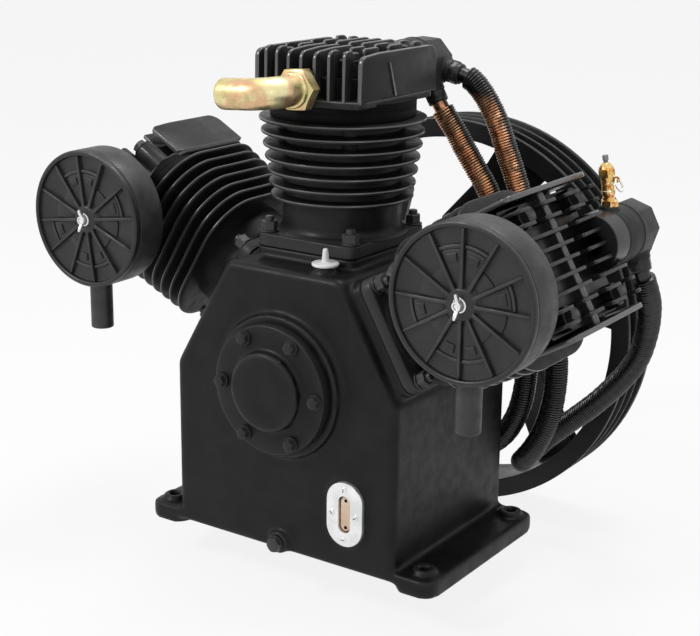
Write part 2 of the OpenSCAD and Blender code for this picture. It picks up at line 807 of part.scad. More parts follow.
module rod(i) {
    color(bare_iron) at_crankpin(i) difference() {
        union() {
            rotate([90, 0, 0]) cylinder(h = big_end_w, r = big_end_r, center = true);
            translate([0, 0, rod_len]) rotate([90, 0, 0])
                cylinder(h = big_end_w, r = small_end_r, center = true);
            translate([-rod_shank_w / 2, -rod_shank_t / 2, pin_r + 4])
                cube([rod_shank_w, rod_shank_t, rod_len - pin_r - wrist_r - 6]);
            for (side = [-1, 1]) translate([side * (big_end_r - 2) - 5, -big_end_w / 2 + 2, -rod_ear_h / 2])
                cube([10, big_end_w - 4, rod_ear_h]);
        }
        rotate([90, 0, 0]) cylinder(h = big_end_w + 2 * overrun, r = pin_r + skin, center = true);
        translate([0, 0, rod_len]) rotate([90, 0, 0])
            cylinder(h = big_end_w + 2 * overrun, r = wrist_r + turn_gap, center = true);
    }
}

module wrist_pin(i) {
    color(steel) at_bank(i) translate([0, 0, wrist_s(i)]) rotate([90, 0, 0])
        cylinder(h = 2 * bore_r[i] - 4 * piston_gap - 6, r = wrist_r, center = true);
}

module piston(i) {
    r = bore_r[i] - piston_gap;
    ring_step = (crown_h - 12) / ring_count;
    color(alloy) at_bank(i) translate([0, 0, wrist_s(i)]) difference() {
        translate([0, 0, -skirt_h]) cylinder(h = skirt_h + crown_h, r = r);
        translate([0, 0, -skirt_h - overrun])
            cylinder(h = skirt_h + crown_h - 9 + overrun, r = r - piston_wall);
        rotate([90, 0, 0]) cylinder(h = 2 * r + overrun, r = wrist_r + skin, center = true);
        for (k = [0:ring_count - 1]) translate([0, 0, crown_h - 5 - ring_t - k * ring_step]) difference() {
            cylinder(h = ring_t, r = r + overrun);
            translate([0, 0, -overrun]) cylinder(h = ring_t + 2 * overrun, r = r - ring_depth);
        }
    }
}

module piston_rings(i) {
    r = bore_r[i] - piston_gap;
    ring_step = (crown_h - 12) / ring_count;
    color(steel) at_bank(i) for (k = [0:ring_count - 1])
        translate([0, 0, wrist_s(i) + crown_h - 5 - ring_t - k * ring_step + skin]) difference() {
            cylinder(h = ring_t - 2 * skin, r = bore_r[i] - turn_gap);
            translate([0, 0, -overrun]) cylinder(h = ring_t + 2 * overrun, r = r - ring_depth + skin);
        }
}

// Cylinders

function fin_share(k) = k / (fin_count - 1);
function round_fin_r(k) = fin_r_low + (fin_r_high - fin_r_low) * fin_share(k);
function square_fin_half(k) = fin_half_low + (fin_half_high - fin_half_low) * fin_share(k);

module fin(i, k) {
    if (i == CENTRE)
        cylinder(h = fin_t, r = round_fin_r(k), $fn = 96);
    else
        linear_extrude(fin_t) polygon(round_rect(2 * square_fin_half(k), 2 * square_fin_half(k),
            square_fin_half(k) * fin_corner_share, 10));
}

module cylinder_block(i) {
    color(iron) at_bank(i) difference() {
        union() {
            translate([0, 0, seat_s + gasket_t]) linear_extrude(flange_t)
                polygon(round_rect(seat_w, seat_d, flange_corner));
            translate([0, 0, seat_s - spigot_len]) cylinder(h = spigot_len + flange_t, r = spigot_r);
            translate([0, 0, seat_s + gasket_t + flange_t - overrun])
                cylinder(h = deck_s - seat_s - gasket_t - flange_t + overrun, r = barrel_r);
            for (k = [0:fin_count - 1]) translate([0, 0, fin_low_s + k * fin_pitch - fin_t / 2]) fin(i, k);
            translate([0, 0, deck_s - top_flange_t]) {
                if (i == CENTRE)
                    cylinder(h = top_flange_t, r = round_deck_r, $fn = 96);
                else
                    linear_extrude(top_flange_t) polygon(round_rect(deck_w, deck_d, deck_corner));
            }
            four(gap_x[i], gap_y[i]) translate([0, 0, deck_s - column_len])
                cylinder(h = column_len, r = column_r, $fn = small_fn);
        }
        translate([0, 0, seat_s - spigot_len - overrun])
            cylinder(h = deck_s - seat_s + spigot_len + 2 * overrun, r = bore_r[i], $fn = 96);
        four(gap_x[i], gap_y[i]) translate([0, 0, deck_s - column_len + 6])
            cylinder(h = column_len, r = head_bolt_r + skin, $fn = small_fn);
        four(stud_x, stud_y) translate([0, 0, seat_s])
            cylinder(h = flange_t + gasket_t + overrun, r = stud_r + skin, $fn = small_fn);
    }
}

module cylinder_base_gaskets() {
    color(paper) for (i = BANKS) at_bank(i) translate([0, 0, seat_s]) difference() {
        linear_extrude(gasket_t) polygon(round_rect(seat_w, seat_d, seat_corner));
        translate([0, 0, -overrun]) cylinder(h = gasket_t + 2 * overrun, r = spigot_r + skin);
        four(stud_x, stud_y) translate([0, 0, -overrun])
            cylinder(h = gasket_t + 2 * overrun, r = stud_r + skin, $fn = small_fn);
    }
}

module cylinder_nuts() {
    color(iron) for (i = BANKS) at_bank(i) four(stud_x, stud_y)
        translate([0, 0, seat_s + gasket_t + flange_t]) {
            translate([0, 0, -flange_t - gasket_t - wall + skin])
                cylinder(h = flange_t + gasket_t + wall + stud_up + 2 * stud_r, r = stud_r, $fn = small_fn);
            cylinder(h = washer_t, r = stud_r * washer_share - 1, $fn = small_fn);
            translate([0, 0, washer_t]) cylinder(h = 2 * stud_r, r = stud_r * bolt_head_share + 1, $fn = 6);
        }
}

// The shape of the joint between cylinder and head.
module joint_face(i, t) {
    difference() {
        if (i == CENTRE)
            cylinder(h = t, r = round_deck_r, $fn = 96);
        else
            linear_extrude(t) polygon(round_rect(deck_w - 6, deck_d - 6, deck_corner - 3));
        four(gap_x[i], gap_y[i]) translate([0, 0, -overrun])
            cylinder(h = t + 2 * overrun, r = head_bolt_r + skin, $fn = small_fn);
        children();
    }
}

module head_gaskets() {
    color(paper) for (i = BANKS) at_bank(i) {
        translate([0, 0, deck_s]) joint_face(i, gasket_t)
            translate([0, 0, -overrun]) cylinder(h = gasket_t + 2 * overrun, r = bore_r[i]);
        translate([0, 0, deck_s + gasket_t + plate_t]) joint_face(i, gasket_t)
            for (side = [-1, 1]) translate([0, side * pocket_y, -overrun])
                linear_extrude(gasket_t + 2 * overrun)
                polygon(round_rect(pocket_w, pocket_d, pocket_corner));
    }
}

module valve_plates() {
    color(steel) for (i = BANKS) at_bank(i) translate([0, 0, deck_s + gasket_t]) {
        joint_face(i, plate_t)
            for (side = [-1, 1], k = [-1, 0, 1])
                translate([k * valve_hole_gap, side * bore_r[i] / 2, -overrun])
                cylinder(h = plate_t + 2 * overrun, r = valve_hole_r, $fn = small_fn);
        for (k = [-1, 0, 1]) translate([k * valve_hole_gap - reed_w / 2, pocket_y - pocket_d / 2 + 1,
            plate_t])
            cube([reed_w, pocket_d - 4, reed_t]);
    }
}

// Heads

// A head seen from above, with its bowed front face.
module head_plan(i) {
    w = head_half_w[i];
    r = cheek_r[i];
    intersection() {
        polygon(concat(
            arc([w - head_corner, head_back - head_corner], head_corner, 0, 90, 6),
            arc([head_corner - w, head_back - head_corner], head_corner, 90, 180, 6),
            arc([r - w, r - front_y[i] - 1], r, 180, 270, 10),
            arc([w - r, r - front_y[i] - 1], r, 270, 360, 10)));
        translate([0, head_bow_r - front_y[i]]) circle(r = head_bow_r, $fn = 160);
    }
}

module head_fins(i) {
    side_x = head_half_w[i] - head_side_t;
    depth = front_y[i] + head_back;
    intersection() {
        linear_extrude(head_h) head_plan(i);
        union() {
            for (side = [-1, 1]) translate([side * (side_x + head_side_t / 2) - head_side_t / 2,
                -front_y[i], 0])
                cube([head_side_t, depth, head_wall_h]);
            for (k = [-fins_each_side[i]:fins_each_side[i]])
                translate([k * fin_step[i] - head_fin_t / 2, -front_y[i], 0])
                    cube([head_fin_t, depth, head_h]);
            translate([-side_x - overrun, -3, 0]) cube([2 * side_x + 2 * overrun, 6, valley_s]);
        }
    }
}

module pockets(h) {
    for (side = [-1, 1]) translate([0, side * pocket_y, 0]) linear_extrude(h)
        polygon(round_rect(pocket_w, pocket_d, pocket_corner));
}

module head(i) {
    reach = front_y[i] - pocket_y;
    color(iron) at_bank(i) translate([0, 0, head_s]) difference() {
        union() {
            linear_extrude(head_floor) head_plan(i);
            linear_extrude(head_floor + pocket_h / 2) offset(delta = -head_inset) head_plan(i);
            difference() {
                head_fins(i);
                translate([-head_w, -valley_half, valley_s]) cube([2 * head_w, 2 * valley_half, head_h]);
            }
            four(gap_x[i], gap_y[i]) cylinder(h = boss_top_s[i], r = head_boss_r, $fn = small_fn);
            translate([port_x[i], -pocket_y, port_s[i]]) rotate([90, 0, 0])
                cylinder(h = reach + head_port_stand, r = head_port_boss_r);
            translate([manifold_x[i], pocket_y, manifold_s[i]]) rotate([-90, 0, 0])
                cylinder(h = manifold_seat_y[i] - pocket_y, r = manifold_r - 0.5);
        }
        if (i == CENTRE) translate([-head_w, -head_w, -head_w]) cube([2 * head_w, 2 * head_w, head_w]);
        translate([0, 0, -overrun]) pockets(head_floor + overrun);
        translate([port_x[i], -pocket_y, port_s[i]]) rotate([90, 0, 0])
            cylinder(h = head_front, r = head_port_r);
        translate([manifold_x[i], pocket_y, manifold_s[i]]) rotate([-90, 0, 0])
            cylinder(h = head_front, r = manifold_bore_r);
        translate([manifold_x[i], pocket_y, 1]) cylinder(h = manifold_s[i], r = manifold_bore_r - 1);
        four(gap_x[i], gap_y[i]) {
            translate([0, 0, -overrun]) cylinder(h = head_h, r = head_bolt_r + skin, $fn = small_fn);
            translate([0, 0, boss_top_s[i]]) cylinder(h = head_h, r = head_boss_r + 1, $fn = small_fn);
        }
    }
}

module head_bolts() {
    color(iron) for (i = BANKS) at_bank(i) four(gap_x[i], gap_y[i])
        translate([0, 0, head_s + boss_top_s[i]])
            bolt(head_bolt_r, boss_top_s[i] + head_s - deck_s + column_len - 8);
}

// Draws with the manifold's own axis along y.
module at_manifold(i) {
    at_bank(i) translate([manifold_x[i], 0, head_s + manifold_s[i]]) children();
}

// Angle of an outlet about the manifold's axis from upright in the world, and its place along the axis.
outlets = [[[180, outlet_y_left - bank_y - rod_pitch]],
    [[101, outlet_y_high - bank_y], [150, outlet_y_low - bank_y]],
    [[163, outlet_y_right - bank_y + rod_pitch]]];

module at_outlet(i, outlet) {
    translate([0, outlet[1], 0]) rotate([0, outlet[0] - bank_lean[i], 0]) children();
}

// Cast manifold behind a head, with the outlets for its pipes.
module manifold(i) {
    front = manifold_seat_y[i] + gasket_t;
    color(iron) at_manifold(i) difference() {
        union() {
            translate([0, front, 0]) rotate([-90, 0, 0])
                cylinder(h = manifold_seam_y - front, r = manifold_r);
            translate([0, manifold_seam_y - overrun, 0]) rotate([-90, 0, 0]) rotate([0, 0, manifold_turn])
                cylinder(h = manifold_end_y - manifold_chamfer - manifold_seam_y + overrun,
                    r = manifold_r + 0.5, $fn = manifold_sides);
            translate([0, manifold_end_y - manifold_chamfer - overrun, 0]) rotate([-90, 0, 0])
                cylinder(h = manifold_chamfer + overrun, r = manifold_r - manifold_chamfer);
            for (outlet = outlets[i]) at_outlet(i, outlet)
                cylinder(h = outlet_len, r = outlet_r, $fn = small_fn);
            if (i == RIGHT) translate([0, relief_y - bank_y + rod_pitch, 0]) rotate([0, -bank_lean[i], 0])
                cylinder(h = manifold_r + 2, r = relief_r + 4, $fn = small_fn);
        }
        translate([0, front - overrun, 0]) rotate([-90, 0, 0])
            cylinder(h = manifold_end_y - front - wall, r = manifold_bore_r);
        for (outlet = outlets[i]) at_outlet(i, outlet)
            cylinder(h = outlet_len + overrun, r = pipe_r - 2, $fn = small_fn);
    }
}

// Pipes

// Direction of a route at point k.
function heading(route, k) = unit(route[min(k + 1, len(route) - 1)] - route[max(k - 1, 0)]);

// A route moved to suit the crank height and the crankcase's depth.
function fitted(route) = [for (p = route) [p[0],
    p[1] + (case_d - route_case_d) / 2 * min(1,
        max(0, (route_turn_z - p[2]) / (route_turn_z - route_crank_h))),
    p[2] + (crank_h - route_crank_h) * min(1, p[2] / route_crank_h)]];

// Points of a route spread evenly by interpolation between its chosen points.
function catmull(a, b, c, d, t) =
    0.5 * ((2 * b) + (c - a) * t + (2 * a - 5 * b + 4 * c - d) * t * t + (3 * b - 3 * c + d - a) * t * t * t);
function smooth_route(route, n) = concat(
    [for (k = [0:len(route) - 2]) for (j = [0:n - 1])
        catmull(route[max(k - 1, 0)], route[k], route[k + 1], route[min(k + 2, len(route) - 1)], j / n)],
    [route[len(route) - 1]]);

// Length along a line of points up to each one.
function lengths(line, k = 0, sum = 0, out = []) =
    k == len(line) ? out
    : lengths(line, k + 1, k == len(line) - 1 ? sum : sum + norm(line[k + 1] - line[k]), concat(out, [sum]));

// The point at length s along the line.
function point_at(line, sums, s) =
    let (k = min(len(line) - 2, max(0, len([for (v = sums) if (v <= s) v]) - 1)),
        span = norm(line[k + 1] - line[k]))
    line[k] + (line[k + 1] - line[k]) * (s - sums[k]) / span;

// A ring of points square to a direction.
function ring(centre, direction, r) =
    let (side = unit(cross(direction, [0, 1, 0.1])), up = cross(side, direction))
    [for (j = [0:pipe_sides - 1])
        let (a = 360 * j / pipe_sides) centre + r * (cos(a) * side + sin(a) * up)];

// A pipe whose radius follows the list of [length, radius] stations.
module swept_pipe(line, sums, stations) {
    n = pipe_sides;
    points = [for (s = stations)
        let (direction = unit(point_at(line, sums, min(s[0] + 1.5, sums[len(sums) - 1]))
            - point_at(line, sums, max(s[0] - 1.5, 0))))
        for (p = ring(point_at(line, sums, s[0]), direction, s[1])) p];
    last = len(stations) - 1;
    faces = concat(
        [for (k = [0:last - 1]) for (j = [0:n - 1])
            [k * n + j, k * n + (j + 1) % n, (k + 1) * n + j]],
        [for (k = [0:last - 1]) for (j = [0:n - 1])
            [k * n + (j + 1) % n, (k + 1) * n + (j + 1) % n, (k + 1) * n + j]],
        [[for (j = [0:n - 1]) n - 1 - j], [for (j = [0:n - 1]) last * n + j]]);
    polyhedron(points = points, faces = faces, convexity = 12);
}

// Lengths and radii along a pipe: coupling nuts at its ends, and fins between.
function fin_stations(total) =
    let (bare = pipe_nut_len + pipe_bare_len,
        count = floor((total - 2 * bare) / pipe_fin_pitch),
        start = (total - count * pipe_fin_pitch) / 2)
    concat([[0, pipe_nut_r], [pipe_nut_len, pipe_nut_r], [pipe_nut_len + 0.5, pipe_r]],
        [for (k = [0:count - 1]) for (q = [[0.2, pipe_r], [0.3, pipe_fin_r], [0.7, pipe_fin_r],
            [0.8, pipe_r]])
            [start + (k + q[0]) * pipe_fin_pitch, q[1]]],
        [[total - pipe_nut_len - 0.5, pipe_r], [total - pipe_nut_len, pipe_nut_r], [total, pipe_nut_r]]);

// The point at distance s from a manifold's axis along one of its outlets.
function outlet_point(i, outlet, s) =
    let (lean = bank_lean[i], up = head_s + manifold_s[i])
    [manifold_x[i] * cos(lean) + up * sin(lean) + s * sin(outlet[0]),
        bank_y + bank_shift[i] + outlet[1],
        crank_h - manifold_x[i] * sin(lean) + up * cos(lean) + s * cos(outlet[0])];

module finned_pipe(from, start, route, to, end) {
    line = smooth_route(concat(
        [for (s = [0.2, pipe_nut_len / 2, pipe_nut_len]) outlet_point(from, start, outlet_len + s)],
            fitted(route),
        [for (s = [pipe_nut_len, pipe_nut_len / 2, 0.2]) outlet_point(to, end, outlet_len + s)]), 4);
    sums = lengths(line);
    color(copper) swept_pipe(line, sums, fin_stations(sums[len(sums) - 1]));
}

module intercooler_right() {
    finned_pipe(CENTRE, outlets[CENTRE][0], right_route, RIGHT, outlets[RIGHT][0]);
}

module intercooler_left() {
    finned_pipe(CENTRE, outlets[CENTRE][1], left_route, LEFT, outlets[LEFT][0]);
}

// Filters

// Draws with the filter's centre at the origin, its front face at y = 0 and z upright.
module at_filter(i) {
    lean = bank_lean[i];
    translate([filter_s * sin(lean), bank_y + bank_shift[i] - filter_front, crank_h + filter_s * cos(lean)])
        children();
}

module disc_y(y0, y1, r) {
    translate([0, y0, 0]) rotate([-90, 0, 0]) cylinder(h = y1 - y0, r = r, $fn = 96);
}

module at_nipple(i) {
    port = head_s + head_port_s - filter_s;
    lean = bank_lean[i];
    translate([port_x[i] * cos(lean) + port * sin(lean), 0, port * cos(lean) - port_x[i] * sin(lean)])
        children();
}

module filter_housings() {
    for (i = [LEFT, RIGHT]) {
        nipple_end = filter_front - front_y[i] - head_port_stand - 0.2;
        tube_len = crank_h + filter_s * cos(bank_lean[i]) - intake_z;
        color(plastic) at_filter(i) difference() {
            union() {
                disc_y(cover_lip, filter_d, filter_r);
                at_nipple(i) disc_y(filter_d - overrun, nipple_end, nipple_r);
                at_nipple(i) disc_y(filter_d, nipple_end + nipple_r, head_port_r - skin);
                translate([0, intake_y, -tube_len]) cylinder(h = tube_len - filter_r / 2, r = intake_r);
            }
            disc_y(0, filter_d - filter_wall, filter_r - filter_wall);
            at_nipple(i) disc_y(filter_d - filter_wall - overrun, filter_front, head_port_r - nipple_wall);
            translate([0, intake_y, -tube_len - overrun]) cylinder(h = tube_len, r = intake_r - filter_wall);
        }
        color(steel) at_filter(i) disc_y(-6, filter_d - filter_wall, stud_filter_r);
    }
}

module filter_elements() {
    color(felt) for (i = [LEFT, RIGHT]) at_filter(i) difference() {
        disc_y(cover_lip + overrun, filter_d - filter_wall, element_r);
        disc_y(cover_lip, filter_d, element_r - element_t);
    }
}

module filter_cover(i) {
    color(plastic) at_filter(i) difference() {
        union() {
            difference() {
                disc_y(0, cover_lip - skin, filter_r);
                disc_y(-overrun, rim_ring_t, filter_r - rim_ring_w);
                disc_y(rim_ring_t + cover_disc_t, cover_lip + overrun, filter_r - filter_wall);
            }
            disc_y(filter_hub_y, rim_ring_t + overrun, filter_hub_r);
            for (k = [0:rib_count - 1]) rotate([0, 360 * k / rib_count, 0])
                translate([filter_hub_r - 2, rim_ring_t - rib_t, -rib_w / 2])
                    cube([filter_r - rim_ring_w - filter_hub_r + 3, rib_t + overrun, rib_w]);
        }
        disc_y(-5, cover_lip, stud_filter_r + turn_gap);
    }
}

module wing_nut(i) {
    color(steel) at_filter(i) difference() {
        union() {
            disc_y(wing_y, filter_hub_y - skin, 6);
            rotate([0, wing_turn, 0]) translate([-wing_span / 2, wing_y - 3, -1.5]) cube([wing_span, 8, 3]);
        }
        disc_y(-12, 2, stud_filter_r + turn_gap);
    }
}

// Brass elbow on the middle head

module elbow_bend(r) {
    translate([-elbow_bend_r, 0, 0]) rotate([0, 0, -elbow_turn]) rotate_extrude(angle = elbow_turn)
        translate([elbow_bend_r, 0]) circle(r = r);
}

// Draws where the bend ends, with the pipe leaving along z.
module at_elbow_end() {
    translate([-elbow_bend_r, 0, 0]) rotate([0, 0, -elbow_turn]) translate([elbow_bend_r, 0, 0])
        rotate([90, 0, 0]) children();
}

module delivery_elbow() {
    bend_y = -elbow_nut_t - elbow_collar_t - elbow_run;
    color(brass) translate([high_port_x, bank_y - short_head_front - head_port_stand - 0.2,
        crank_h + head_s + high_port_s])
        rotate([0, -elbow_drop, 0]) difference() {
            union() {
                rotate([90, 0, 0]) cylinder(h = elbow_nut_t, r = elbow_nut_r, $fn = 6);
                translate([0, elbow_thread_len, 0]) rotate([90, 0, 0])
                    cylinder(h = elbow_thread_len + overrun, r = head_port_r - skin);
                translate([0, overrun - elbow_nut_t, 0]) rotate([90, 0, 0])
                    cylinder(h = elbow_collar_t + overrun, r = delivery_r + 2.5);
                translate([0, -elbow_nut_t, 0]) rotate([90, 0, 0])
                    cylinder(h = elbow_collar_t + elbow_run + 0.5, r = delivery_r);
                translate([0, bend_y, 0]) elbow_bend(delivery_r - 0.2);
                translate([0, bend_y, 0]) at_elbow_end() translate([0, 0, -0.5])
                    cylinder(h = elbow_len + 0.5, r = delivery_r);
            }
            translate([0, elbow_thread_len + overrun, 0]) rotate([90, 0, 0])
                cylinder(h = elbow_thread_len + overrun - bend_y, r = elbow_bore_r);
            translate([0, bend_y, 0]) elbow_bend(elbow_bore_r - 0.2);
            translate([0, bend_y, 0]) at_elbow_end() translate([0, 0, -0.5])
                cylinder(h = elbow_len + 2, r = elbow_bore_r);
        }
}

// Relief valve on the right manifold

module at_relief() {
    at_manifold(RIGHT) translate([0, relief_y - bank_y + rod_pitch, 0]) rotate([0, -bank_angle, 0])
        translate([0, 0, manifold_r + 2 + skin]) children();
}

module relief_valve() {
    color(brass) at_relief() difference() {
        union() {
            cylinder(h = 8, r = relief_r + 3, $fn = 6);
            rotate([0, relief_tilt, 0]) {
                translate([0, 0, 4]) cylinder(h = relief_h - 20, r = relief_r - 1, $fn = small_fn);
                translate([0, 0, 14]) cylinder(h = 22, r = relief_r, $fn = small_fn);
                translate([0, 0, relief_h - 24]) cylinder(h = 10, r = relief_r + 2.5, $fn = 6);
                translate([0, 0, relief_h - 14.5])
                    cylinder(h = 6, r1 = relief_r + 2, r2 = 3.6, $fn = small_fn);
                translate([0, 0, relief_h - 12]) cylinder(h = 12, r = 3.2, $fn = small_fn);
                translate([0, -ring_lug_t / 2, ring_eye_h - 2.5]) cube([ring_lug_x, ring_lug_t, 5]);
                translate([ring_lug_x, 0, ring_eye_h]) rotate([90, 0, 0])
                    cylinder(h = ring_lug_t, r = ring_lug_r, center = true, $fn = small_fn);
            }
        }
        rotate([0, relief_tilt, 0]) translate([ring_lug_x, 0, ring_eye_h]) rotate([90, 0, 0])
            cylinder(h = 2 * ring_lug_t, r = ring_eye_r, center = true, $fn = small_fn);
    }
}

module relief_ring() {
    color(steel) at_relief() rotate([0, relief_tilt, 0]) translate([ring_lug_x, 0, ring_eye_h])
        rotate([0, ring_hang - relief_tilt, 0]) translate([0, 0, ring_big_r]) rotate([0, 90, 0])
            rotate_extrude($fn = 48) translate([ring_big_r, 0]) circle(r = ring_wire_r, $fn = 16);
}

// Oil filler, sight glass and drain

module oil_filler_cap() {
    seat = crank_h + case_r + filler_boss_t;
    color(white) translate([filler_x, filler_y, seat]) {
        translate([0, 0, -14]) cylinder(h = 14 + overrun, r = filler_bore_r, $fn = small_fn);
        cylinder(h = filler_disc_t, r = filler_disc_r, $fn = 48);
        translate([0, 0, filler_disc_t - overrun])
            cylinder(h = filler_pin_len + overrun, r1 = filler_pin_r, r2 = filler_pin_r - 1, $fn = small_fn);
    }
}

module sight_glass_frame() {
    front = case_front - sight_pad_t;
    color(steel) {
        difference() {
            translate([sight_x, front - sight_frame_t, sight_z]) rotate([-90, 0, 0])
                linear_extrude(sight_frame_t)
                polygon(round_rect(sight_w, sight_l, sight_w / 2 - skin));
            translate([sight_x, front - sight_frame_t - overrun, sight_z]) rotate([-90, 0, 0])
                linear_extrude(sight_frame_t + 2 * overrun)
                    polygon(round_rect(sight_window_w, sight_window_l, sight_window_w / 2 - skin));
        }
        for (a = [0, 90, 180, 270]) translate([sight_x + sight_screw_x * cos(a), front - sight_frame_t,
            sight_z + sight_screw_z * sin(a)]) rotate([90, 0, 0])
                cylinder(h = sight_screw_t, r = sight_screw_r, $fn = small_fn);
    }
}

module sight_glass_lens() {
    front = case_front - sight_pad_t;
    color(glass) translate([sight_x, front - sight_frame_t + 2, sight_z]) rotate([-90, 0, 0])
        linear_extrude(sight_frame_t + 2)
            polygon(round_rect(sight_window_w - 0.1, sight_window_l - 0.1, sight_window_w / 2 - 0.1));
}

module drain_plug() {
    color(iron) translate([0, drain_y, drain_z]) {
        rotate([90, 0, 0]) cylinder(h = drain_hex_t, r = drain_hex_r, $fn = 6);
        translate([0, 12, 0]) rotate([90, 0, 0]) cylinder(h = 12 + overrun, r = drain_plug_r);
    }
}

crankcase();
front_cover();
front_cover_gasket();
front_cover_bolts();
rear_bearing_housing();
rear_housing_gasket();
rear_housing_bolts();
oil_seal();
front_bearing();
rear_bearing();
bearing_inner_races();
crankshaft();
flywheel();
flywheel_key();
flywheel_nut();
crankpin(LEFT);  // crankpin_left
crankpin(CENTRE);  // crankpin_centre
crankpin(RIGHT);  // crankpin_right
rod(LEFT);  // rod_left
rod(CENTRE);  // rod_centre
rod(RIGHT);  // rod_right
wrist_pin(LEFT);  // wrist_pin_left
wrist_pin(CENTRE);  // wrist_pin_centre
wrist_pin(RIGHT);  // wrist_pin_right
piston(LEFT);  // piston_left
piston(CENTRE);  // piston_centre
piston(RIGHT);  // piston_right
piston_rings(LEFT);  // piston_rings_left
piston_rings(CENTRE);  // piston_rings_centre
piston_rings(RIGHT);  // piston_rings_right
cylinder_block(LEFT);  // cylinder_left
cylinder_block(CENTRE);  // cylinder_centre
cylinder_block(RIGHT);  // cylinder_right
cylinder_base_gaskets();
cylinder_nuts();
head_gaskets();
valve_plates();
head(LEFT);  // head_left
head(CENTRE);  // head_centre
head(RIGHT);  // head_right
head_bolts();
manifold(LEFT);  // manifold_left
manifold(CENTRE);  // manifold_centre
manifold(RIGHT);  // manifold_right
intercooler_left();
intercooler_right();
filter_housings();
filter_elements();
filter_cover(LEFT);  // filter_cover_left
filter_cover(RIGHT);  // filter_cover_right
wing_nut(LEFT);  // wing_nut_left
wing_nut(RIGHT);  // wing_nut_right
delivery_elbow();
relief_valve();
relief_ring();
oil_filler_cap();
sight_glass_frame();
sight_glass_lens();
drain_plug();
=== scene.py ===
import json
import math
import random

import bmesh
import bpy
from mathutils import Matrix, Vector

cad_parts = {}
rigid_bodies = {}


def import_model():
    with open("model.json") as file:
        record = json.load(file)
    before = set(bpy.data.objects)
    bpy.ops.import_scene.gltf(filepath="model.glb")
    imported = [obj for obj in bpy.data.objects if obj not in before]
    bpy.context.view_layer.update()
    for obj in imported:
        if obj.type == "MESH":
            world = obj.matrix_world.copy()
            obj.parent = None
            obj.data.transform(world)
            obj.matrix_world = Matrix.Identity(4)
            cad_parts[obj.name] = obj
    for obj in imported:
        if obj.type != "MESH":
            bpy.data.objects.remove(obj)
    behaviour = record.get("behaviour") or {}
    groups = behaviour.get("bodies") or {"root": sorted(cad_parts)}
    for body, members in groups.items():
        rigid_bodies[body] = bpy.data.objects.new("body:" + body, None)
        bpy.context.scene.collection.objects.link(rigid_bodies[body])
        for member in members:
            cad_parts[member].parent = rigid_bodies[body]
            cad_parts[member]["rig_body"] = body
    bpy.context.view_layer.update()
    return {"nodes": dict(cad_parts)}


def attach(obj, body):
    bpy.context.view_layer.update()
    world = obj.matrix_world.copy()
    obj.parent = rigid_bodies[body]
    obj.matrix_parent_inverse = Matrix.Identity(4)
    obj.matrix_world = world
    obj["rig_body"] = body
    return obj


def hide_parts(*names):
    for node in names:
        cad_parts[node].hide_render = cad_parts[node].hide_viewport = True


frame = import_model()
NODES = frame["nodes"]
MM = 0.001
random.seed(7)

# Sizes in millimetres, as in the part's source
CRANK_H = 202
BANK_Y = -4
BANKS = ("left", "centre", "right")
SHIFT = {"left": 27, "centre": 0, "right": -27}
LEAN = {"left": -60, "centre": 0, "right": 60}
DECK_S = 292  # top of the cylinders, from the crank's axis
HEAD_S = 301.6
HEAD_BACK, HEAD_H = 80, 56
HEAD_HALF = {"left": 76, "centre": 69.3, "right": 76}
HEAD_FRONT = {"left": 80, "centre": 80, "right": 102}
CHEEK = {"left": 58, "centre": 25, "right": 20}
BOW = 200
FIN_STEP = {"left": 14.6, "centre": 16.7, "right": 14.6}
FINS = {"left": 4, "centre": 3, "right": 4}
BOLT_AT = {"left": (53, 53), "centre": (41.5, 47.5), "right": (53, 53)}
BORE = {"left": 52.8, "centre": 40.3, "right": 52.8}
BOSS_TOP = {"left": 38, "centre": 43, "right": 38}
PORT_X = {"left": 22, "centre": 3, "right": 22}
PORT_S = {"left": 18, "centre": 15.5, "right": 18}
MANIFOLD_X = {"left": -4, "centre": 16, "right": -4}
MANIFOLD_S = {"left": 37, "centre": 22.5, "right": 37}
MANIFOLD_SEAT = {"left": 80, "centre": 94, "right": 80}
OUTLETS = {"left": [(180, 171)], "centre": [(101, 140), (150, 131)], "right": [(163, 120)]}
OUTLET_LEN = 36
FILTER_R, FILTER_FRONT, FILTER_S = 79, 162.5, 303
CASE_FRONT = -118
GASKET_T = 0.8
COVER_SEAT = CASE_FRONT - 10 - GASKET_T  # back face of the front cover
WASHER_T = 2.0
CORNERS = [(-1, -1), (-1, 1), (1, -1), (1, 1)]


# Geometry helpers. A part is (points, faces); points are in millimetres.

def move(x, y, z):
    return Matrix.Translation((x, y, z))


def turn(axis, degrees):
    return Matrix.Rotation(math.radians(degrees), 4, axis)


def bank(name):
    return move(0, BANK_Y + SHIFT[name], CRANK_H) @ turn("Y", LEAN[name])


TO_Y = turn("X", -90)     # stands a part's z axis along +y
TO_FRONT = turn("X", 90)  # stands a part's z axis along -y


def arc(cx, cy, r, a0, a1, n):
    steps = [math.radians(a0 + (a1 - a0) * i / n) for i in range(n + 1)]
    return [(cx + r * math.cos(a), cy + r * math.sin(a)) for a in steps]


def circle(r, n=48, cx=0, cy=0):
    return arc(cx, cy, r, 0, 360, n)[:-1]


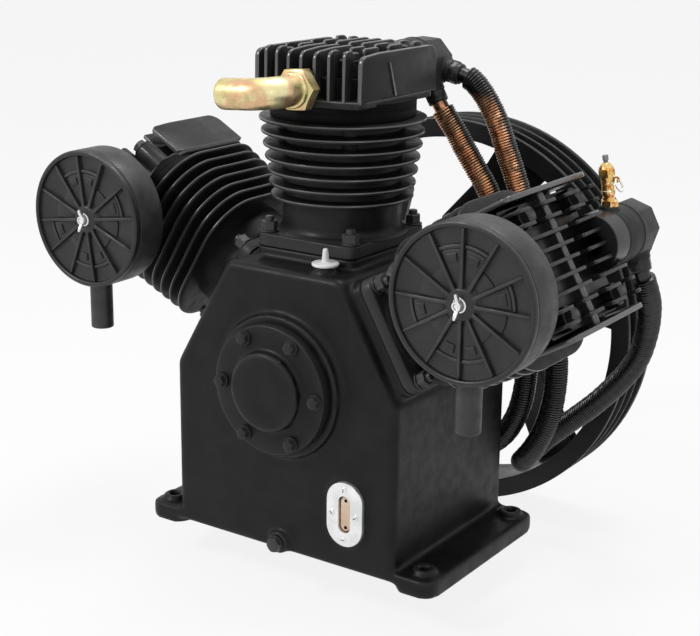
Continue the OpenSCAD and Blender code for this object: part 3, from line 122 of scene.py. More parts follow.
def rounded(points, radii, n=4):
    """A polygon with each corner rounded by its own radius."""
    out = []
    count = len(points)
    for i, p in enumerate(points):
        r = radii[i] if isinstance(radii, (list, tuple)) else radii
        a, b, c = Vector(points[i - 1]), Vector(p), Vector(points[(i + 1) % count])
        u, v = (a - b), (c - b)
        lu, lv = u.length, v.length
        if r <= 0 or lu < 1e-6 or lv < 1e-6:
            out.append(tuple(b))
            continue
        u.normalize()
        v.normalize()
        half = math.acos(max(-1, min(1, u.dot(v)))) / 2
        if half > math.radians(88):
            out.append(tuple(b))
            continue
        d = min(r / math.tan(half), lu * 0.49, lv * 0.49)
        r = d * math.tan(half)
        centre = b + (u + v).normalized() * (r / math.sin(half))
        s, e = b + u * d, b + v * d
        a0 = math.atan2(s.y - centre.y, s.x - centre.x)
        a1 = math.atan2(e.y - centre.y, e.x - centre.x)
        while a1 - a0 > math.pi:
            a1 -= 2 * math.pi
        while a1 - a0 < -math.pi:
            a1 += 2 * math.pi
        for k in range(n + 1):
            t = a0 + (a1 - a0) * k / n
            out.append((centre.x + r * math.cos(t), centre.y + r * math.sin(t)))
    return out


def round_rect(w, d, r, n=8):
    return (arc(w / 2 - r, d / 2 - r, r, 0, 90, n) + arc(r - w / 2, d / 2 - r, r, 90, 180, n)
            + arc(r - w / 2, r - d / 2, r, 180, 270, n) + arc(w / 2 - r, r - d / 2, r, 270, 360, n))


def loft(loops, ring=False, caps=True):
    points, faces, starts = [], [], []
    for loop in loops:
        starts.append(len(points))
        points += [tuple(p) for p in loop]
    pairs = list(zip(range(len(loops) - 1), range(1, len(loops))))
    if ring:
        pairs.append((len(loops) - 1, 0))
    for i, j in pairs:
        a, b = starts[i], starts[j]
        na, nb = len(loops[i]), len(loops[j])
        n = max(na, nb)
        for k in range(n):
            m = (k + 1) % n
            if na == 1:
                faces.append((a, b + m, b + k))
            elif nb == 1:
                faces.append((a + k, a + m, b))
            else:
                faces.append((a + k, a + m, b + m, b + k))
    if caps and not ring:
        if len(loops[0]) > 1:
            faces.append(tuple(reversed(range(starts[0], starts[0] + len(loops[0])))))
        if len(loops[-1]) > 1:
            faces.append(tuple(range(starts[-1], starts[-1] + len(loops[-1]))))
    return points, faces


def lathe(profile, n=64, ring=False, phase=0):
    loops = []
    for r, z in profile:
        if r < 1e-6:
            loops.append([(0, 0, z)])
        else:
            loops.append([(x, y, z) for x, y in arc(0, 0, r, phase, phase + 360, n)[:-1]])
    return loft(loops, ring)


def prism(outline, z0, z1):
    return loft([[(x, y, z0) for x, y in outline], [(x, y, z1) for x, y in outline]])


def banded(part, n, first, last):
    """Slots for a lofted part: its bands of n faces from first to last get the second material."""
    return [1 if first <= i // n <= last else 0 for i in range(len(part[1]))]


def rod(r, z0, z1, e=1.0, n=32):
    """A round bar with softened ends."""
    return lathe([(0, z0), (r - e, z0), (r - 0.3 * e, z0 + 0.3 * e), (r, z0 + e), (r, z1 - e),
                  (r - 0.3 * e, z1 - 0.3 * e), (r - e, z1), (0, z1)], n)


def tube(r, inner, z0, z1, e=0.8, n=48):
    return lathe([(inner, z0 + e), (inner + e, z0), (r - e, z0), (r, z0 + e), (r, z1 - e), (r - e, z1),
                  (inner + e, z1), (inner, z1 - e)], n, ring=True)


def hexagon(r, h, low=0.0, n=6):
    """A bolt head: flat sides with a turned chamfer on top."""
    flat = r * math.cos(math.pi / n)
    per = 4
    outline = []
    for i in range(n):
        a0, a1 = 2 * math.pi * i / n, 2 * math.pi * (i + 1) / n
        for k in range(per):
            t = k / per
            outline.append((r * (math.cos(a0) * (1 - t) + math.cos(a1) * t),
                            r * (math.sin(a0) * (1 - t) + math.sin(a1) * t)))
    top = []
    for x, y in outline:
        d = math.hypot(x, y)
        top.append((x, y, h - (d - flat * 0.97) * math.tan(math.radians(30)) - 0.02 * r))
    shrink = 0.93 * flat
    cap = [(shrink * x / math.hypot(x, y), shrink * y / math.hypot(x, y), h) for x, y in outline]
    base = [(x, y, low) for x, y in outline]
    return loft([base, top, cap, [(0, 0, h)]])


def frames(points):
    """Directions and side vectors along a line of points, without twist."""
    pts = [Vector(p) for p in points]
    dirs = []
    for i in range(len(pts)):
        d = pts[min(i + 1, len(pts) - 1)] - pts[max(i - 1, 0)]
        dirs.append(d.normalized())
    side = dirs[0].orthogonal().normalized()
    out = []
    for i, d in enumerate(dirs):
        if i:
            side = dirs[i - 1].rotation_difference(d) @ side
            side = (side - d * side.dot(d)).normalized()
        out.append((pts[i], d, side, d.cross(side)))
    return out


def sweep(points, radii, n):
    loops = []
    for (p, _, s, u), r in zip(frames(points), radii):
        loops.append([p + (s * math.cos(a) + u * math.sin(a)) * r
                      for a in (2 * math.pi * k / n for k in range(n))])
    return loft(loops)


class Shape:
    def __init__(self):
        self.points, self.faces, self.slots = [], [], []

    def add(self, part, at=None, slot=0):
        base = len(self.points)
        if at is None:
            self.points += [Vector(p) for p in part[0]]
        else:
            self.points += [at @ Vector(p) for p in part[0]]
        self.faces += [[base + i for i in f] for f in part[1]]
        self.slots += slot if isinstance(slot, list) else [slot] * len(part[1])
        return self

    def build(self, name, body, materials, replaces, sharp=38):
        mesh = bpy.data.meshes.new(name)
        mesh.from_pydata([p * MM for p in self.points], [], self.faces)
        for m in materials:
            mesh.materials.append(m)
        mesh.polygons.foreach_set("material_index", self.slots)
        bm = bmesh.new()
        bm.from_mesh(mesh)
        bmesh.ops.recalc_face_normals(bm, faces=bm.faces)
        bm.to_mesh(mesh)
        bm.free()
        piece = bpy.data.objects.new(name, mesh)
        bpy.context.scene.collection.objects.link(piece)
        mesh.shade_smooth()
        mesh.set_sharp_from_angle(angle=math.radians(sharp))
        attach(piece, body)
        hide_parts(*replaces)


def copy_node(node):
    """A new piece with a CAD node's shape, its corners joined."""
    mesh = NODES[node].data.copy()
    mesh.name = node + "_look"
    bm = bmesh.new()
    bm.from_mesh(mesh)
    bmesh.ops.remove_doubles(bm, verts=bm.verts, dist=2e-6)
    bm.to_mesh(mesh)
    bm.free()
    piece = bpy.data.objects.new(mesh.name, mesh)
    bpy.context.scene.collection.objects.link(piece)
    return piece


def apply_modifiers(piece):
    """Turns a piece's modifiers into its mesh."""
    bpy.context.view_layer.update()
    graph = bpy.context.evaluated_depsgraph_get()
    mesh = bpy.data.meshes.new_from_object(piece.evaluated_get(graph))
    piece.modifiers.clear()
    old = piece.data
    piece.data = mesh
    bpy.data.meshes.remove(old)


def paint_all(mesh, material):
    mesh.materials.clear()
    mesh.materials.append(material)
    for p in mesh.polygons:
        p.material_index = 0


def dress(piece, node, material):
    paint_all(piece.data, material)
    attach(piece, NODES[node]["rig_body"])
    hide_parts(node)


def soften(node, material, width):
    """A machined piece: the node's shape with its sharp edges rounded by width."""
    piece = copy_node(node)
    bm = bmesh.new()
    bm.from_mesh(piece.data)
    bmesh.ops.dissolve_limit(bm, angle_limit=math.radians(1), verts=bm.verts, edges=bm.edges)
    bm.to_mesh(piece.data)
    bm.free()
    piece.data.shade_smooth()
    m = piece.modifiers.new("soft edges", "BEVEL")
    m.width = width * MM
    m.segments = 2
    m.limit_method = "ANGLE"
    m.angle_limit = math.radians(35)
    m.use_clamp_overlap = False
    m.harden_normals = False
    m.miter_outer = "MITER_ARC"
    m = piece.modifiers.new("weighted normals", "WEIGHTED_NORMAL")
    m.keep_sharp = True
    m.weight = 80
    dress(piece, node, material)


def cast(node, material, voxel, rounds, keep):
    """A casting: the node's shape with all its edges and corners worn round."""
    piece = copy_node(node)
    m = piece.modifiers.new("remesh", "REMESH")
    m.mode = "VOXEL"
    m.voxel_size = voxel * MM
    m = piece.modifiers.new("smooth", "SMOOTH")
    m.factor = 0.5
    m.iterations = rounds
    m = piece.modifiers.new("decimate", "DECIMATE")
    m.ratio = keep
    apply_modifiers(piece)
    piece.data.shade_smooth()
    dress(piece, node, material)


# Materials

class Paint:
    """Builds a node material step by step."""

    def __init__(self, name):
        self.material = bpy.data.materials.new(name)
        self.material.use_nodes = True
        self.tree = self.material.node_tree
        self.shader = self.tree.nodes["Principled BSDF"]
        self.coords = self.tree.nodes.new("ShaderNodeNewGeometry").outputs["Position"]
        self.normal = None

    def node(self, kind, inputs=(), **settings):
        n = self.tree.nodes.new(kind)
        for key, value in settings.items():
            setattr(n, key, value)
        for key, value in dict(inputs).items():
            if isinstance(value, bpy.types.NodeSocket):
                self.tree.links.new(value, n.inputs[key])
            else:
                n.inputs[key].default_value = value
        return n

    def noise(self, scale, detail=3.0, rough=0.6, stretch=None):
        at = self.coords
        if stretch:
            at = self.node("ShaderNodeMapping", {"Vector": self.coords, "Scale": stretch}).outputs[0]
        return self.node("ShaderNodeTexNoise", {"Vector": at, "Scale": scale, "Detail": detail,
                                                "Roughness": rough}).outputs["Fac"]

    def spread(self, value, low, high, a=0.35, b=0.65):
        return self.node("ShaderNodeMapRange", {"Value": value, "From Min": a, "From Max": b, "To Min": low,
                                                "To Max": high}).outputs[0]

    def blend(self, factor, a, b):
        n = self.node("ShaderNodeMix", data_type="RGBA")
        for key, value in ((0, factor), (6, a), (7, b)):
            if isinstance(value, bpy.types.NodeSocket):
                self.tree.links.new(value, n.inputs[key])
            elif key == 0:
                n.inputs[key].default_value = value
            else:
                n.inputs[key].default_value = (*value, 1)
        return n.outputs[2]

    def math(self, operation, a, b):
        n = self.node("ShaderNodeMath", operation=operation)
        for key, value in ((0, a), (1, b)):
            if isinstance(value, bpy.types.NodeSocket):
                self.tree.links.new(value, n.inputs[key])
            else:
                n.inputs[key].default_value = value
        return n.outputs[0]

    def bump(self, height, distance, strength=1.0):
        settings = {"Height": height, "Distance": distance * MM, "Strength": strength}
        if self.normal:
            settings["Normal"] = self.normal
        self.normal = self.node("ShaderNodeBump", settings).outputs[0]

    def done(self, colour, roughness, **settings):
        for key, value in (("Base Color", colour), ("Roughness", roughness)):
            if isinstance(value, bpy.types.NodeSocket):
                self.tree.links.new(value, self.shader.inputs[key])
            elif key == "Base Color":
                self.shader.inputs[key].default_value = (*value, 1)
            else:
                self.shader.inputs[key].default_value = value
        for key, value in settings.items():
            self.shader.inputs[key.replace("_", " ")].default_value = value
        if self.normal:
            self.tree.links.new(self.normal, self.shader.inputs["Normal"])
        return self.material


def cast_paint(name, dark, light, rough, grain, edge, specular):
    """Black paint over rough castings, paler along sharp edges as a painted highlight."""
    p = Paint(name)
    colour = p.blend(p.spread(p.noise(26, 4), 0, 1), dark, light)
    # Pointiness lightens the sharp edges toward a pale grey: a painted highlight along the edges.
    point = p.tree.nodes.new("ShaderNodeNewGeometry").outputs["Pointiness"]
    edge_highlight = p.spread(point, 0, edge, 0.51, 0.60)
    colour = p.blend(edge_highlight, colour, (0.11, 0.11, 0.115))
    p.bump(p.noise(900, 2), grain, 0.6)
    p.bump(p.noise(160, 3), grain * 2.2, 0.45)
    return p.done(colour, p.spread(p.noise(60, 4), *rough), Specular_IOR_Level=specular)


BLACK = (0.004, 0.004, 0.0045), (0.009, 0.009, 0.0095)
# A paler black: the low end of the edge-highlight material, and the bolts' own paint.
EDGE_HIGHLIGHT_AND_NUT_BLACK = (0.010, 0.010, 0.0105)
IRON = cast_paint("black_cast_paint", *BLACK, (0.34, 0.5), 0.12, 0.35, 0.20)
GLOSS = cast_paint("black_gloss_paint", *BLACK, (0.24, 0.40), 0.05, 0.3, 0.30)
# The material on the next line is a paler black with strong specular, put on fin rims, head lips and the bar: a
# painted highlight along those edges.
HIGHLIT_RIM = cast_paint("black_painted_edge_highlight", EDGE_HIGHLIGHT_AND_NUT_BLACK, (0.022, 0.022, 0.023), (0.20, 0.32), 0.04, 0.5, 1.0)
MATT = cast_paint("black_manifold_paint", (0.013, 0.013, 0.0135), (0.022, 0.022, 0.023), (0.5, 0.62),
                  0.10, 0.2, 0.3)
# Near-black put in recesses, openings, gaps and under the heads: painted shade.
SHADE_BLACK = cast_paint("painted_shade_black", (0.003, 0.003, 0.003), (0.005, 0.005, 0.005), (0.6, 0.7), 0.05, 0.1, 0.06)
NUT = cast_paint("black_bolt_paint", EDGE_HIGHLIGHT_AND_NUT_BLACK, (0.024, 0.024, 0.025), (0.34, 0.5), 0.05, 0.4, 0.35)


def machined(name, dark, light, rough, metallic=1.0, scratch=0.02):
    p = Paint(name)
    colour = p.blend(p.spread(p.noise(45, 4), 0, 1), dark, light)
    p.bump(p.noise(700, 3, stretch=(1, 8, 1)), scratch, 0.5)
    return p.done(colour, p.spread(p.noise(90, 3), *rough), Metallic=metallic)


STEEL = machined("steel", (0.42, 0.43, 0.45), (0.60, 0.61, 0.63), (0.24, 0.4))
BARE = machined("bare_iron", (0.17, 0.17, 0.18), (0.27, 0.27, 0.28), (0.38, 0.55), 0.9, 0.04)
ALLOY = machined("alloy", (0.52, 0.53, 0.55), (0.68, 0.69, 0.70), (0.3, 0.45))
PLATED = machined("bright_zinc", (0.74, 0.75, 0.75), (0.93, 0.93, 0.92), (0.16, 0.30), 0.85, 0.015)


def moulded(name, dark, light, rough, grain, specular=0.4):
    p = Paint(name)
    colour = p.blend(p.spread(p.noise(38, 5), 0, 1), dark, light)
    p.bump(p.noise(1300, 2), grain, 0.5)
    return p.done(colour, p.spread(p.noise(70, 3), *rough), Specular_IOR_Level=specular)


PLASTIC = moulded("filter_plastic", (0.017, 0.017, 0.018), (0.036, 0.036, 0.037), (0.40, 0.6), 0.12, 0.5)
FACE = moulded("filter_face", (0.009, 0.009, 0.0095), (0.017, 0.017, 0.0175), (0.34, 0.5), 0.06, 0.45)
RUBBER = moulded("seal_rubber", (0.012, 0.012, 0.012), (0.02, 0.02, 0.02), (0.6, 0.7), 0.05, 0.3)
GASKET = moulded("gasket_paper", (0.006, 0.006, 0.0055), (0.012, 0.011, 0.010), (0.7, 0.8), 0.08, 0.15)
FELT = moulded("filter_felt", (0.55, 0.50, 0.38), (0.72, 0.67, 0.52), (0.85, 0.95), 0.4, 0.1)
WHITE = moulded("white_plastic", (0.80, 0.80, 0.79), (0.88, 0.88, 0.87), (0.38, 0.46), 0.02, 0.5)


def plated_brass():
    """Yellow chromate over steel, cloudy with pink, green and brown."""
    p = Paint("yellow_plating")
    base = p.blend(p.spread(p.noise(26, 4), 0, 1, 0.34, 0.66), (0.62, 0.47, 0.17), (0.88, 0.80, 0.46))
    pink = p.blend(p.spread(p.noise(38, 4, 0.6, (1, 1.6, 1)), 0, 0.85, 0.50, 0.62), base, (0.74, 0.44, 0.26))
    green = p.blend(p.spread(p.noise(52, 4, 0.6, (1.4, 1, 1)), 0, 0.7, 0.54, 0.68), pink, (0.44, 0.46, 0.20))
    brown = p.blend(p.spread(p.noise(110, 5, 0.7), 0, 0.8, 0.60, 0.72), green, (0.30, 0.19, 0.08))
    p.bump(p.noise(420, 3), 0.05, 0.5)
    return p.done(brown, p.spread(p.noise(80, 4), 0.24, 0.46), Metallic=0.82)


def valve_brass():
    p = Paint("valve_brass")
    base = p.blend(p.spread(p.noise(120, 4), 0, 1, 0.35, 0.65), (0.66, 0.36, 0.06), (0.94, 0.74, 0.34))
    red = p.blend(p.spread(p.noise(210, 3), 0, 0.85, 0.52, 0.62), base, (0.45, 0.07, 0.02))
    pale = p.blend(p.spread(p.noise(150, 3, 0.5), 0, 0.8, 0.58, 0.68), red, (0.95, 0.90, 0.72))
    p.bump(p.noise(900, 2), 0.02, 0.4)
    return p.done(pale, p.spread(p.noise(200, 3), 0.14, 0.30), Metallic=0.9)


def pipe_metal():
    """Copper under black overspray: bare between the heads, painted elsewhere. The copper shows only on faces turned
    to the front, a painted highlight band with painted shade beside it, and copper specks are painted glints.
    """
    p = Paint("painted_copper")
    copper = p.blend(p.spread(p.noise(90, 4), 0, 1), (0.66, 0.27, 0.12), (0.93, 0.56, 0.32))
    place = p.node("ShaderNodeSeparateXYZ", {"Vector": p.coords}).outputs
    x, z = place[0], place[2]
    rise = p.math("MULTIPLY", p.spread(z, 0, 1, 0.36, 0.39), p.spread(z, 1, 0, 0.478, 0.500))
    beside = p.spread(x, 1, 0, 0.160, 0.178)
    # Copper only where the surface faces the front (-y): the lit band is a painted highlight, and the rest stays black
    # as painted shade.
    normal = p.node("ShaderNodeNewGeometry").outputs["Normal"]
    facing_y = p.node("ShaderNodeSeparateXYZ", {"Vector": normal}).outputs[1]
    front = p.spread(facing_y, 1, 0, -0.62, -0.30)
    spray = p.spread(p.noise(70, 5), 0.45, 1.0, 0.38, 0.50)
    bare = p.math("MULTIPLY", p.math("MULTIPLY", p.math("MULTIPLY", rise, beside), spray), front)
    # Copper specks over the whole pipe: painted glints on the fins.
    glint_specks = p.spread(p.noise(240, 3), 0, 0.35, 0.66, 0.72)
    bare = p.math("MAXIMUM", bare, p.math("MULTIPLY", glint_specks, 0.35))
    colour = p.blend(bare, (0.006, 0.006, 0.0065), copper)
    p.bump(p.noise(700, 2), 0.03, 0.5)
    done = p.done(colour, p.spread(p.noise(90, 3), 0.20, 0.34), Specular_IOR_Level=0.5)
    p.tree.links.new(bare, p.shader.inputs["Metallic"])
    return done


def window():
    p = Paint("sight_window")
    z = p.node("ShaderNodeSeparateXYZ", {"Vector": p.coords}).outputs[2]
    tint = p.blend(p.spread(z, 0, 1, 0.055, 0.098), (0.62, 0.36, 0.22), (0.80, 0.62, 0.44))
    colour = p.blend(p.spread(p.noise(160, 3), 0, 0.5), tint, (0.86, 0.66, 0.50))
    p.bump(p.noise(300, 2), 0.02, 0.3)
    return p.done(colour, p.spread(p.noise(80, 2), 0.12, 0.2), Coat_Weight=0.6, Coat_Roughness=0.06)


BRASS, VALVE, PIPE, WINDOW = plated_brass(), valve_brass(), pipe_metal(), window()


# Hidden and plain CAD pieces keep their shape and get a finish

FINISH = {
    "crankshaft": BARE, "flywheel_key": STEEL, "crankpin_left": STEEL, "crankpin_centre": STEEL,
    "crankpin_right": STEEL, "front_bearing": STEEL, "rear_bearing": STEEL, "bearing_inner_races": STEEL,
    "rod_left": BARE, "rod_centre": BARE, "rod_right": BARE, "wrist_pin_left": STEEL, "wrist_pin_centre": STEEL,
    "wrist_pin_right": STEEL, "piston_left": ALLOY, "piston_centre": ALLOY, "piston_right": ALLOY,
    "piston_rings_left": BARE, "piston_rings_centre": BARE, "piston_rings_right": BARE, "oil_seal": RUBBER,
    "front_cover_gasket": GASKET, "rear_housing_gasket": GASKET, "cylinder_base_gaskets": GASKET,
    "head_gaskets": GASKET, "filter_elements": FELT,
}
for node, material in FINISH.items():
    paint_all(NODES[node].data, material)

cast("crankcase", IRON, 2.6, 9, 0.22)
soften("rear_bearing_housing", IRON, 1.6)
soften("flywheel", IRON, 1.2)
soften("flywheel_nut", IRON, 0.8)
# The valve plates get the near-black: painted shade under the overhanging heads.
soften("valve_plates", SHADE_BLACK, 0.9)


# Bolts and nuts

def bolt(shape, at, r, height=1.3):
    """A bolt head on its washer, standing on the origin and turned by chance."""
    shape.add(rod(r * 2.2, 0.0, WASHER_T, 0.5, 32), at)
    shape.add(hexagon(r * 1.62, r * height), at @ move(0, 0, WASHER_T) @ turn("Z", random.uniform(0, 60)))


def bolt_circle(name, node, count, radius, y, face, height):
    """M8 bolts around the crank's axis, on the plane at y."""
    shape = Shape()
    for k in range(count):
        a = math.radians(360 * k / count)
        at = move(radius * math.cos(a), y, CRANK_H + radius * math.sin(a)) @ face
        bolt(shape, at, 4, height)
    shape.build(name, "pump_body", [IRON], [node])


bolt_circle("cover_bolt_heads", "front_cover_bolts", 6, 62.5, COVER_SEAT - 12, TO_FRONT, 1.5)

heads = Shape()
for name in BANKS:
    for sx, sy in CORNERS:
        x, y = BOLT_AT[name]
        at = bank(name) @ move(x * sx, y * sy, HEAD_S + BOSS_TOP[name])
        bolt(heads, at, 5.6, 1.35)
        heads.add(rod(5, -60, 0.5, 0.3, 24), at)
heads.build("head_bolt_heads", "pump_body", [NUT], ["head_bolts"])

# Front cover, bolts and nuts

cover = Shape()
cover.add(lathe([(0, -8), (54, -8), (60, -0.6), (70.8, -0.6), (72, 0.6), (72, 10.4), (71.4, 11.6), (70, 12),
                 (50, 12), (47, 12.5), (45, 13.8), (44, 16), (44, 18.5), (43.2, 20.8), (41.2, 22.4), (38, 23),
                 (20, 23), (0, 23)], 96), move(0, COVER_SEAT, CRANK_H) @ TO_FRONT)
cover.build("front_cover_look", "pump_body", [IRON], ["front_cover"], sharp=60)

bolt_circle("rear_bolt_heads", "rear_housing_bolts", 8, 92, -CASE_FRONT + GASKET_T + 13, TO_Y, 1.3)

nuts = Shape()
for name in BANKS:
    for sx, sy in CORNERS:
        at = bank(name) @ move(54 * sx, 62 * sy, 140.5 + GASKET_T + 13)
        nuts.add(rod(10.4, 0, WASHER_T, 0.5, 32), at)
        nuts.add(hexagon(9.1, 10), at @ move(0, 0, WASHER_T) @ turn("Z", random.uniform(0, 60)))
        nuts.add(rod(5, -14, 17, 1.2, 24), at)
nuts.build("cylinder_nuts_look", "pump_body", [NUT], ["cylinder_nuts"])

plug = Shape()
at = move(0, CASE_FRONT - 9, 19) @ TO_FRONT
plug.add(rod(7, -10, 1, 0.3, 32), at)
plug.add(rod(9.4, 0, 1.2, 0.4, 32), at)
plug.add(hexagon(9, 7, 1.0), at @ turn("Z", 12))
plug.build("drain_plug_look", "pump_body", [NUT], ["drain_plug"])


# Cylinders. Square fins are lofted from rounded squares, round ones are turned.

def fin_edge(s, t, reach, e):
    """Outline of a fin's rim: (reach from the axis, place along it), rounded, thinner outside."""
    low, high = s - t / 2, s + t / 2
    return [(reach - 7, low - 0.5), (reach - e, low), (reach - 0.3 * e, low + 0.3 * e), (reach, low + e),
            (reach, high - e), (reach - 0.3 * e, high - 0.3 * e), (reach - e, high), (reach - 7, high + 0.5)]


def square_fin(s, t, half, share, inner, e):
    loops = [[(x, y, s - t / 2 - 1.2) for x, y in circle(inner, 72)]]
    corner = share * half
    for reach, z in fin_edge(s, t, half, e):
        inset = half - reach
        loop = round_rect(2 * reach, 2 * reach, max(corner - inset, 4), 17)
        loops.append([(x, y, z) for x, y in loop])
    loops.append([(x, y, s + t / 2 + 1.2) for x, y in circle(inner, 72)])
    return loft(loops, ring=True)


def by_angle(outline, n=120):
    """The outline taken again at even angles around its middle."""
    points = []
    for k in range(n):
        d = Vector((math.cos(2 * math.pi * k / n), math.sin(2 * math.pi * k / n)))
        far = 0
        for a, b in zip(outline, outline[1:] + outline[:1]):
            ex, ey = b[0] - a[0], b[1] - a[1]
            det = ex * d.y - ey * d.x
            if abs(det) > 1e-9:
                along_edge = (a[1] * d.x - a[0] * d.y) / det
                reach = (a[1] * ex - a[0] * ey) / det
                if -1e-6 <= along_edge <= 1 + 1e-6:
                    far = max(far, reach)
        points.append((d.x * far, d.y * far))
    return points


def onto(outline, r, z):
    """The outline's points, moved in or out to a circle."""
    return [(x * r / math.hypot(x, y), y * r / math.hypot(x, y), z) for x, y in outline]


def cylinder(name):
    shape = Shape()
    at = bank(name)
    bore = BORE[name]
    flange = by_angle(rounded([(-65, -75), (65, -75), (65, 75), (-65, 75)], 14, 6))
    loops = []
    for inset, z in ((0, 141.3), (0, 152.2), (0.6, 153.6), (2, 154.3)):
        k, q = 1 - inset / 65, 1 - inset / 75
        loops.append([(x * k, y * q, z) for x, y in flange])
    shape.add(loft(loops + [onto(flange, 57, 154.3), onto(flange, 57, 141.3)], ring=True), at)
    shape.add(lathe([(bore, 116.5), (57.5, 116.5), (57.5, 141), (66, 152), (74, 154.2), (70, 156.5), (67, 160.5),
                     (66, 166), (66, 284), (bore, 284)], 96, ring=True), at)
    t = 4.3
    # One band of faces round each fin's rim gets the paler edge material: a painted highlight line on the rims.
    for k in range(7):
        s = 193.3 + 14.2 * k
        if name == "centre":
            reach = 79 + 13 * k / 6
            rim = fin_edge(s, t, reach, 1.9)
            part = lathe([(60, s - t / 2 - 1.6), (66.4, s - t / 2 - 1.4)] + rim
                         + [(66.4, s + t / 2 + 1.4), (60, s + t / 2 + 1.6)], 128, ring=True)
            shape.add(part, at, banded(part, 128, 6, 6))
        else:
            half = 87 + 5 * k / 6
            part = square_fin(s, t, half, 0.66, 64, 1.9)
            shape.add(part, at, banded(part, 72, 5, 5))
    # The deck and its flange under the head get the near-black (slot 2): painted shade under the head.
    if name == "centre":
        deck = ((bore, -12), (66, -12), (76, -11.6), (79, -10.6), (80, -9), (80, -2), (79.4, -0.4), (78, 0),
                (bore, 0))
        shape.add(lathe([(r, DECK_S + z) for r, z in deck], 128, ring=True), at, 2)
    else:
        corner = by_angle(round_rect(152, 158, 30, 12))
        loops = []
        for inset, z in ((3, -12), (1, -11.4), (0, -10), (0, -1.6), (0.6, -0.4), (2, 0)):
            loops.append([(x * (1 - inset / 76), y * (1 - inset / 79), DECK_S + z) for x, y in corner])
        loops += [onto(corner, bore + 1, DECK_S), onto(corner, bore + 1, DECK_S - 12)]
        shape.add(loft(loops, ring=True), at, 2)
    for sx, sy in CORNERS:
        shape.add(rod(9, 246, 286, 2.5, 24), at @ move(BOLT_AT[name][0] * sx, BOLT_AT[name][1] * sy, 0))
    shape.build("cylinder_%s_look" % name, "pump_body", [IRON, HIGHLIT_RIM, SHADE_BLACK], ["cylinder_" + name],
                sharp=42)


for name in BANKS:
    cylinder(name)


# Heads

def bow(name, x, inset=0.0):
    """Front of a head's plan at x."""
    half, front, cheek = HEAD_HALF[name], HEAD_FRONT[name], CHEEK[name]
    x = min(abs(x), half - 0.001)
    y = BOW - front - math.sqrt(BOW * BOW - x * x)
    side = half - x
    if side < cheek:
        y = max(y, cheek - front - 1 - math.sqrt(max(cheek * cheek - (cheek - side) ** 2, 0)))
    return y + inset


def head_plan(name, inset=0.0, n=48):
    w = HEAD_HALF[name]
    k = (w - inset) / w
    pts = []
    for i in range(n + 1):
        x = -w + 2 * w * (0.5 - 0.5 * math.cos(math.pi * i / n))
        pts.append((x * k, bow(name, x) + inset))
    side, end = w - inset, HEAD_BACK - inset
    corner = 16 - 0.5 * inset
    back = rounded([(side, 0), (side, end), (-side, end), (-side, 0)], [0, corner, corner, 0], 6)
    return pts + back[1:-1]


def fin_side(name, x, notches, top=HEAD_H, front_r=9, back_r=14, low=2.5):
    """Side view of a head's fin at x: (y, height), with rounded notches."""
    front, back = bow(name, x) + 0.3, HEAD_BACK - 0.8
    notches = list(notches)
    corners, radii = [(front, low)], [0]
    if notches and notches[0][0] < front + 5:
        y1, floor = notches.pop(0)[1:]
        corners += [(front + 0.4, floor), (y1 - 1.2, floor), (y1, top)]
        radii += [2.4, 2.4, 3.2]
    elif notches and notches[0][0] < front + 42:
        corners.append((front + 0.6, top))
        radii.append(min(front_r, (notches[0][0] - front) / 2))
    else:
        corners += [(front + 0.6, top - 2.5), (front + 34, top)]
        radii += [front_r, 60]
    for y0, y1, floor in notches:
        corners += [(y0, top), (y0 + 1.2, floor), (y1 - 1.2, floor), (y1, top)]
        radii += [3.2, 2.4, 2.4, 3.2]
    corners += [(back, top), (back, low)]
    radii += [back_r, 0]
    return rounded(corners, radii, 6)


def across(outline, x0, x1):
    """A side view (y, height) given thickness along x."""
    return loft([[(x0, y, z) for y, z in outline], [(x1, y, z) for y, z in outline]])


def slab(outline, x, thick, e=0.9):
    """A fin: a side view with thickness along x and rounded edges."""
    n = len(outline)
    pts = [Vector(p) for p in outline]
    area = sum(a.x * b.y - b.x * a.y for a, b in zip(pts, pts[1:] + pts[:1]))
    sign = 1 if area > 0 else -1
    inward = []
    for i in range(n):
        d = (pts[(i + 1) % n] - pts[i - 1])
        if d.length < 1e-9:
            d = Vector((1, 0))
        d.normalize()
        inward.append(Vector((-d.y, d.x)) * sign)
    loops = []
    for inset, off in ((e, -thick / 2), (0.3 * e, -thick / 2 + 0.3 * e), (0, -thick / 2 + e),
                       (0, thick / 2 - e), (0.3 * e, thick / 2 - 0.3 * e), (e, thick / 2)):
        loops.append([(x + off, p.x + q.x * inset, p.y + q.y * inset) for p, q in zip(pts, inward)])
    return loft(loops)


